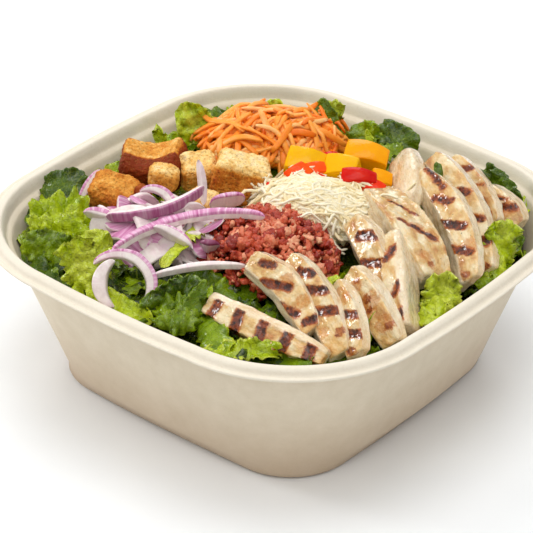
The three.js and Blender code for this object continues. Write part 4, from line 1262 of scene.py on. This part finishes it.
# the others: a place is the middle from the bowl's centre and its rise over the rim's crest
looseLeaves = [
    {"at": (-81, 15, 2), "size": (10, 6), "turn": (129, 76, 0), "spin": 20, "tone": 0.7, "frill": 5,
     "curl": 40},
    {"at": (-88, -41, -2), "size": (22, 17), "turn": (39, 8, 35), "tone": 0.2, "curl": -36,
     "blister": 0.4},
    {"at": (-78, -18, 0), "size": (9, 7), "turn": (39, 0, 40), "tone": 0.66},
    {"at": (-72, -30, -6), "size": (24, 16), "turn": (60, 0, 10), "tone": 0.4},
    {"at": (-58, -79, -6), "size": (25, 16), "turn": (34, -6, 62), "tone": 0.46, "ruffle": 2.4,
     "curl": -20, "cup": -20, "square": 0.7, "blister": 1.6},
    {"at": (-39, -74, 0), "size": (17, 16), "turn": (129, 46, -10), "tone": 0.88, "ruffle": 2.2,
     "frill": 8, "curl": 30, "cup": -20, "blister": 1.3},
    {"at": (-9, -90, -7), "size": (34, 11), "turn": (2, 0, 30), "tone": 0.74, "ruffle": 2.0,
     "blister": 1.0},
    {"at": (-10, -46, 5), "size": (44, 8), "turn": (94, 6, 10), "tone": 0.86, "ruffle": 1.2, "cup": 60,
     "square": 1.0, "blister": 0.5},
    {"at": (-47, -60, 2), "size": (12, 9), "turn": (129, 40, 0), "tone": 0.98, "ruffle": 0.6, "cup": -40,
     "blister": 0.3},
    {"at": (-8, -22, 0), "size": (10, 6), "turn": (39, 0, 20), "tone": 0.84},
    {"at": (-1, -59, -9), "size": (44, 38), "turn": (60, 0, 6), "tone": 0.02, "ruffle": 3.6, "frill": 10,
     "curl": -40, "cup": 30, "blister": 2.4},
    {"at": (18, -74, -1), "size": (17, 11), "turn": (129, 58, 16), "spin": -20, "tone": 0.36,
     "ruffle": 0.8, "curl": 14, "cup": 40, "square": 1.0, "point": 0.5, "blister": 0.3},
    {"at": (15, -83, -4), "size": (21, 18), "turn": (39, 0, 30), "tone": 0.46, "ruffle": 2.2, "curl": -76,
     "cup": -66, "square": 0.9, "blister": 1.9},
    {"at": (33, -81, -6.5), "size": (31, 13), "turn": (-30, -4, 26), "tone": 0.42, "ruffle": 1.2,
     "frill": 12, "curl": -20, "cup": -84, "blister": 0.5, "paleEdge": 0.4},
    {"at": (50, -84, -7.5), "size": (34, 10), "turn": (30, 0, 36), "tone": 0.68, "ruffle": 2.4,
     "frill": 8, "curl": -20, "cup": 20, "square": 0.7, "blister": 1.1, "paleEdge": 0.4, "jag": 2.0},
    {"at": (34, -66, -11), "size": (36, 26), "turn": (10, 0, 10), "tone": 0.1, "ruffle": 3.0, "frill": 10,
     "blister": 2.2},
    {"at": (82, -41, -7), "size": (18, 4), "turn": (129, 50, 0), "spin": -12, "tone": 0.45, "ruffle": 0.6,
     "curl": 16, "cup": 60, "square": 1.0, "blister": 0.2},
    {"at": (76, -58, -14), "size": (24, 16), "turn": (20, 8, 0), "tone": 0.3},
    {"at": (93, -14, -6), "size": (15, 11), "turn": (110, 26, 0), "tone": 0.8, "ruffle": 2.0,
     "blister": 1.0},
    {"at": (94, 28, -8), "size": (20, 16), "turn": (39, 10, 20), "tone": 0.56, "ruffle": 2.0,
     "blister": 1.2},
    {"at": (80, 62, -10), "size": (16, 10), "turn": (-40, 0, 20), "tone": 0.3, "ruffle": 2.0},
    {"at": (4, 74, 0), "size": (13, 10), "turn": (39, 5, 20), "tone": 0.5, "blister": 1.4},
    {"at": (-6, 75, 1), "size": (13, 7), "turn": (129, 62, 0), "spin": 24, "tone": 0.72, "ruffle": 0.6,
     "curl": 20, "cup": 40, "square": 1.0, "point": 0.6, "blister": 0.2},
    {"at": (-12, 76, -1), "size": (19, 17), "turn": (110, 44, -10), "tone": 0.5, "ruffle": 2.2,
     "frill": 8, "curl": 40, "cup": 10, "blister": 1.4},
    {"at": (-54, 63, 4), "size": (14, 10), "turn": (129, 62, 0), "tone": 0.76, "ruffle": 2.0, "frill": 7,
     "curl": 24, "blister": 1.1},
    {"at": (-64, 49, 2), "size": (15, 12), "turn": (129, 52, 0), "tone": 0.42, "ruffle": 2.2, "frill": 8,
     "curl": 40, "blister": 1.2},
    {"at": (44, 55.5, 12.5), "size": (8, 4), "turn": (129, 60, 0), "tone": 0.2, "ruffle": 0.6,
     "frill": 5},
    {"at": (57, -36, 5), "size": (9, 5), "turn": (39, 20, 0), "tone": 0.75, "ruffle": 0.8, "frill": 5},
]


# romaine: thin waxy blade that glows yellow-green against the light, dark and glossy where it lies in
# shade, with fine pale veins and a watery rib
def romaineLeaf():
    material, add, shader = newMaterial("romaine lettuce")
    place = add("TexCoord", output="Object")
    tone, vein, rib = (add("Attribute", output="Fac", attribute_name=name) for name in
                       ("tone", "vein", "rib"))
    fine = add("TexNoise", [place, 1 / (1.3 * mm), 3, 0.6])
    for pattern, amount in ((add("TexNoise", [place, 1 / (7 * mm), 3]), 0.36), (fine, 0.2)):
        tone = add("Math", [tone, amount / 2], operation="SUBTRACT")
        tone = add("Math", [pattern, amount, tone], operation="MULTIPLY_ADD")
    colour = add("ValToRGB", [tone], stops=[(0.0, "#1b2b02"), (0.2, "#365003"), (0.42, "#5e7a04"),
                                            (0.62, "#8fa808"), (0.8, "#b2c40e"), (1.0, "#d2dc4c")])
    net = add("TexVoronoi", {"Vector": place, "Scale": 1 / (2.6 * mm)}, feature="DISTANCE_TO_EDGE")
    net = add("ValToRGB", [net], stops=[(0.02, 1.0), (0.1, 0.0)])
    netting = add("Math", [net, 0.14], operation="MULTIPLY")
    colour = add("Mix", [netting, colour, "#b4c226"], data_type="RGBA")
    vein = add("ValToRGB", [add("Math", [fine, 0.5, vein], operation="MULTIPLY_ADD")],
               stops=[(0.3, 0.34), (0.62, 0.0)])
    colour = add("Mix", [vein, colour, "#b9c93a"], data_type="RGBA")
    # the rib's field counts in millimetres from its middle line
    rib = add("Math", [fine, 0.8, rib], operation="MULTIPLY_ADD")
    rib = add("ValToRGB", [add("Math", [rib, 0.25], operation="MULTIPLY")], stops=[(0.22, 0.7), (0.5, 0.0)])
    colour = add("Mix", [rib, colour, "#d3da98"], data_type="RGBA")
    crinkle = add("Bump", {"Height": fine, "Distance": 0.8 * mm})
    normal = add("Bump", {"Height": net, "Distance": -0.2 * mm, "Normal": crinkle})
    # wet film: it bridges the fine crinkle, so it gleams in patches
    film = add("Bump", {"Height": add("TexNoise", [place, 1 / (3.2 * mm), 2]), "Distance": 0.4 * mm})
    rough = add("ValToRGB", [fine], stops=[(0.3, 0.1), (0.7, 0.26)])
    feed(shader, {"Base Color": colour, "Roughness": rough, "Normal": normal, "IOR": 1.4,
                  "Specular IOR Level": 0.2, "Coat Weight": 0.48, "Coat Roughness": 0.12,
                  "Coat Normal": film, "Subsurface Weight": 0.06, "Subsurface Radius": (0.9, 1.0, 0.1),
                  "Subsurface Scale": 0.6 * mm})
    return material


# bends points so that what runs along the axis follows an arc of `degrees` in all
def bent(points, length, degrees, axis):
    bend = math.radians(degrees) / length
    if abs(bend) < 1e-6:
        return points
    angle = points[:, axis] * bend
    reach = 1 / bend - points[:, 2]
    moved = points.copy()
    moved[:, axis] = reach * np.sin(angle)
    moved[:, 2] = 1 / bend - reach * np.cos(angle)
    return moved


# one leaf as a thin closed sheet lying along X, its upper face up
def leafSheet(values, grid, seed):
    length, width = values["size"]
    rows = max(int(length / grid), 7)
    columns = max(int(width / grid), 6)
    along, across = np.meshgrid(np.linspace(-1, 1, rows), np.linspace(-1, 1, columns), indexing="ij")
    along = along.reshape(-1)
    across = across.reshape(-1)
    square = values["square"]
    x = along * np.sqrt(1 - square * across ** 2 / 2)
    y = across * np.sqrt(1 - square * along ** 2 / 2)
    out = np.maximum(np.abs(along), np.abs(across))
    turn = np.arctan2(y * width, x * length)
    around = turn * (length + width) / 4
    ring = np.stack([np.cos(turn) * 20, np.sin(turn) * 20, np.full(len(turn), 3.1 * seed)], 1)
    jag = 0.08 * bumps(ring, 12, seed) + values["jag"] * (0.05 * bumps(ring, 4, seed + 1)
                                                          + 0.04 * bumps(ring, 1.8, seed + 2))
    grow = 1 + jag * smoothStep(out, 0.3, 1.0)
    x = x * grow * length / 2
    y = y * grow * width / 2 * (1 - values["point"] * (along + 1) / 2)
    y = y + 0.05 * length * np.sin(x / length * 3 + seed)
    flat = np.stack([x, y, np.full(len(x), 5.7 * seed)], 1)
    warp = bumps(flat, 9, seed + 5)
    ribLine = np.abs(y - 0.04 * length * np.sin(x / length * 4 + seed * 1.3))
    slanted = x - np.abs(y) * 0.85 + 2.2 * warp
    spacing = leafValues["veinSpacing"]
    vein = np.abs((slanted / spacing + 0.31 * seed) % 1 - 0.5) * spacing * 0.7
    frill = np.sin(2 * np.pi * around / values["frill"] + 3 * bumps(ring, 9, seed + 7))
    frill = frill + 0.5 * np.sin(4.6 * np.pi * around / values["frill"] + 4 * bumps(ring, 7, seed + 8))
    # the edge waves, the blade stands up between its veins and blisters, and the whole leaf sways
    z = values["ruffle"] * smoothStep(out, 0.35, 1.05) * frill
    z += values["blister"] * (smoothStep(np.minimum(vein, ribLine), 0.0, 1.8) - 0.5) * 0.6
    z += values["blister"] * layered(flat, 5.0, seed + 9, 4, 0.66) * 1.7
    z += 1.6 * bumps(flat, 22, seed + 13)
    points = np.stack([x, y, z], 1)
    points = bent(points, width, values["cup"], 1)
    points = bent(points, length, values["curl"], 0)
    faces = gridFaces(rows, columns)
    normals = pointNormals(points, faces)
    if normals[:, 2].mean() < 0:
        faces = faces[:, ::-1]
        normals = -normals
    tip = smoothStep(out, 0.86, 1.0)
    half = leafValues["thickness"] / 2 * (1 - 0.6 * tip)
    under = half + leafValues["ribThickness"] * smoothStep(-ribLine, -1.6, 0.0) * (1 - tip)
    both = np.vstack([points + normals * half[:, None], points - normals * under[:, None]])
    index = np.arange(rows * columns).reshape(rows, columns)
    edge = np.concatenate([index[0, :-1], index[:-1, -1], index[-1, :0:-1], index[:0:-1, 0]])
    beyond = np.roll(edge, -1)
    count = rows * columns
    wall = np.stack([edge, beyond, beyond + count, edge + count], 1)
    probe = both[wall[0]]
    outwardness = np.cross(probe[1] - probe[0], probe[3] - probe[0]) @ (points[edge[0]] - points.mean(0))
    if outwardness < 0:
        wall = wall[:, ::-1]
    tone = values["tone"] + 0.1 * bumps(flat, 14, seed + 3) + values["paleEdge"] * tip
    tone = tone + 0.08 * (1 - smoothStep(ribLine, 0, 5))
    # the rib runs out towards the tip and is narrow on these inner leaves
    shown = ribLine + 2.5 * smoothStep(along, -0.6, 0.9) + 2.0
    fields = {"tone": np.tile(tone, 2), "rib": np.tile(shown, 2), "vein": np.tile(vein, 2)}
    return both, [faces, faces[:, ::-1] + count, wall], fields


def leafAxes(values):
    heading, pitch, roll = values["turn"]
    return turning(roll, -pitch, heading) @ turning(0, 0, values["spin"])


def placeLeaf(heap, values, place, grid, seed):
    values = {**leafDefaults, **values}
    points, faces, fields = leafSheet(values, grid, seed)
    addTo(heap, keepInside(points @ leafAxes(values).T + place, 0.4), faces, **fields)


# a leaf with its own solid is as long and as wide as that, and lies on its middle
def makeLeafNode(number, values, material):
    values = {**leafDefaults, **values}
    axes = leafAxes(values)
    low, high = spanOn(f"romaine_leaf_{number}", axes)
    points, faces, fields = leafSheet({**values, "size": tuple(high - low)[:2]}, leafValues["grid"], number)
    mine = points.max(0) - points.min(0)
    scale = (high - low) / mine
    scale[2] = 1
    placed = (points - (points.max(0) + points.min(0)) / 2) * scale + (high + low) / 2
    makePiece(f"romaine_piece_{number}", keepInside(placed @ axes.T, 0.4), faces, material, "romaine",
              [f"romaine_leaf_{number}"], **fields)


def makeLooseLeaves(material):
    heap = newHeap()
    for number, values in enumerate(looseLeaves, 11):
        x, y, rise = values["at"]
        placeLeaf(heap, values, [x, y, bowlTop + rise], leafValues["grid"], number)
    makeHeap("loose_romaine", heap, material, "romaine")


# smaller torn leaves over a smaller core, wherever no other topping lies on the bed
def makeTornLeaves(material):
    rng = np.random.default_rng(leafValues["fillerSeed"])
    heap = newHeap()
    core, faces = coreShape("lettuce_bed", leafValues["core"])
    # the core is the darkest green: painted shade where it shows between the leaves
    addTo(heap, keepInside(core, 1.5), [faces], tone=0.02, rib=9.0, vein=9.0)
    places = placesOn("lettuce_bed", leafValues["fillers"] * 4, rng, lowest=50, steepest=0.3)[0]
    kept = 0
    for i, place in enumerate(places):
        x, y, z = place
        covered = (heightOf(topTree, x, y) or z) > z + 1.5
        if kept >= leafValues["fillers"] or (covered and rng.random() < 0.85):
            continue
        kept += 1
        front = smoothStep(-y, 20, 80)
        values = {
            "size": (rng.uniform(*leafValues["fillerLength"]), rng.uniform(*leafValues["fillerWidth"])),
            "turn": (rng.uniform(0, 360), rng.uniform(-10, 30), rng.uniform(-25, 25)),
            "tone": float(np.clip(rng.normal(0.42 - 0.18 * front, 0.2), 0.05, 0.85)),
            "ruffle": rng.uniform(1.2, 2.6), "frill": rng.uniform(7, 13),
            "curl": rng.uniform(-60, 50), "cup": rng.uniform(-40, 40),
            "square": rng.uniform(0.5, 1.0), "blister": rng.uniform(0.5, 1.3),
        }
        placeLeaf(heap, values, [x, y, z + rng.uniform(-2.5, 2.0)], leafValues["fillerGrid"], 100 + i)
    makeHeap("torn_romaine", heap, material, "romaine", ["lettuce_bed"])


romaine = romaineLeaf()
for number, values in enumerate(leafNodes, 1):
    makeLeafNode(number, values, romaine)
makeLooseLeaves(romaine)
makeTornLeaves(romaine)
print("lettuce done")

# floor, light and camera

# metres and degrees here
setValues = {
    "floorHalf": 2.6,       # half the paper's side
    "floorGap": 0.0003,     # how far it lies below the bowl's foot
    # name, power, size, place and colour of each softbox: a big one overhead, small bright ones low on the
    # left and behind for shape and wet highlights, and one at the front that opens the shaded walls
    "softboxes": [("top softbox", 22.8, 1.7, (0.05, 0.1, 2.7), "#ffffff"),
                  ("side softbox", 18.0, 0.65, (-2.0, -0.75, 0.95), "#ffffff"),
                  ("back softbox", 9.0, 1.0, (-1.2, 1.5, 1.3), "#ffffff"),
                  ("fill softbox", 8.0, 1.4, (0.8, -1.1, 1.6), "#fffdf8")],
    "lit": (0, 0, 0.06),    # what they point at
    # how bright the white room is from its horizon up to its ceiling
    "sky": [(0.0, 0.25), (0.5, 0.4), (0.8, 0.8), (1.0, 1.05)],
    # the camera stands to the right of the front and above, a little rolled, and looks at `aim`; lens in mm
    "azimuth": 39.093, "elevation": 31.459, "roll": 0.7245,
    "distance": 1.10937, "aim": (-0.01666, 0.01363, 0.03447), "lens": 168.31,
}


# seamless paper: a matt, nearly white sheet
def paperFloor():
    material, add, shader = newMaterial("seamless white paper")
    place = add("TexCoord", output="Object")
    tone = add("TexNoise", [place, 1 / (60 * mm), 2])
    tone = add("ValToRGB", [tone], stops=[(0.35, "#f1f3f5"), (0.65, "#f4f6f8")])
    feed(shader, {"Base Color": tone, "Roughness": 0.9})
    return material


def makeFloor():
    half = setValues["floorHalf"]
    z = cadLow.z - setValues["floorGap"]
    corners = [(-half, -half, z), (half, -half, z), (half, half, z), (-half, half, z)]
    mesh = bpy.data.meshes.new("floor")
    mesh.from_pydata(corners, [], [(0, 1, 2, 3)])
    mesh.materials.append(paperFloor())
    floor = bpy.data.objects.new("floor", mesh)
    bpy.context.scene.collection.objects.link(floor)


def addSoftbox(name, power, size, place, colour):
    light = bpy.data.lights.new(name, "AREA")
    light.shape = "DISK"
    light.size = size
    light.energy = power
    light.color = linear(colour)[:3]
    lamp = bpy.data.objects.new(name, light)
    lamp.location = place
    lamp.rotation_euler = (Vector(setValues["lit"]) - Vector(place)).to_track_quat("-Z", "Y").to_euler()
    bpy.context.scene.collection.objects.link(lamp)


def makeCamera():
    azimuth, elevation, roll = (math.radians(setValues[key]) for key in ("azimuth", "elevation", "roll"))
    forward = Vector((-math.sin(azimuth) * math.cos(elevation), math.cos(azimuth) * math.cos(elevation),
                      -math.sin(elevation)))
    level = forward.cross(Vector((0, 0, 1))).normalized()
    above = level.cross(forward)
    right = level * math.cos(roll) + above * math.sin(roll)
    up = above * math.cos(roll) - level * math.sin(roll)
    camera = bpy.data.objects.new("camera", bpy.data.cameras.new("camera"))
    camera.data.lens = setValues["lens"]
    camera.data.sensor_width = 36
    camera.data.clip_end = 20
    place = Vector(setValues["aim"]) - forward * setValues["distance"]
    camera.matrix_world = Matrix((
        (right.x, up.x, -forward.x, place.x), (right.y, up.y, -forward.y, place.y),
        (right.z, up.z, -forward.z, place.z), (0, 0, 0, 1)))
    bpy.context.scene.collection.objects.link(camera)
    bpy.context.scene.camera = camera


def makeLight():
    for softbox in setValues["softboxes"]:
        addSoftbox(*softbox)
    world = bpy.data.worlds.new("white studio")
    world.use_nodes = True
    tree = world.node_tree
    height = addNode(tree, "SeparateXYZ", [addNode(tree, "TexCoord", output="Generated")], output="Z")
    feed(tree.nodes["Background"], {"Color": addNode(tree, "ValToRGB", [height], stops=setValues["sky"])})
    bpy.context.scene.world = world
    bpy.context.scene.view_settings.view_transform = "Standard"


makeFloor()
makeLight()
makeCamera()
print("set done")
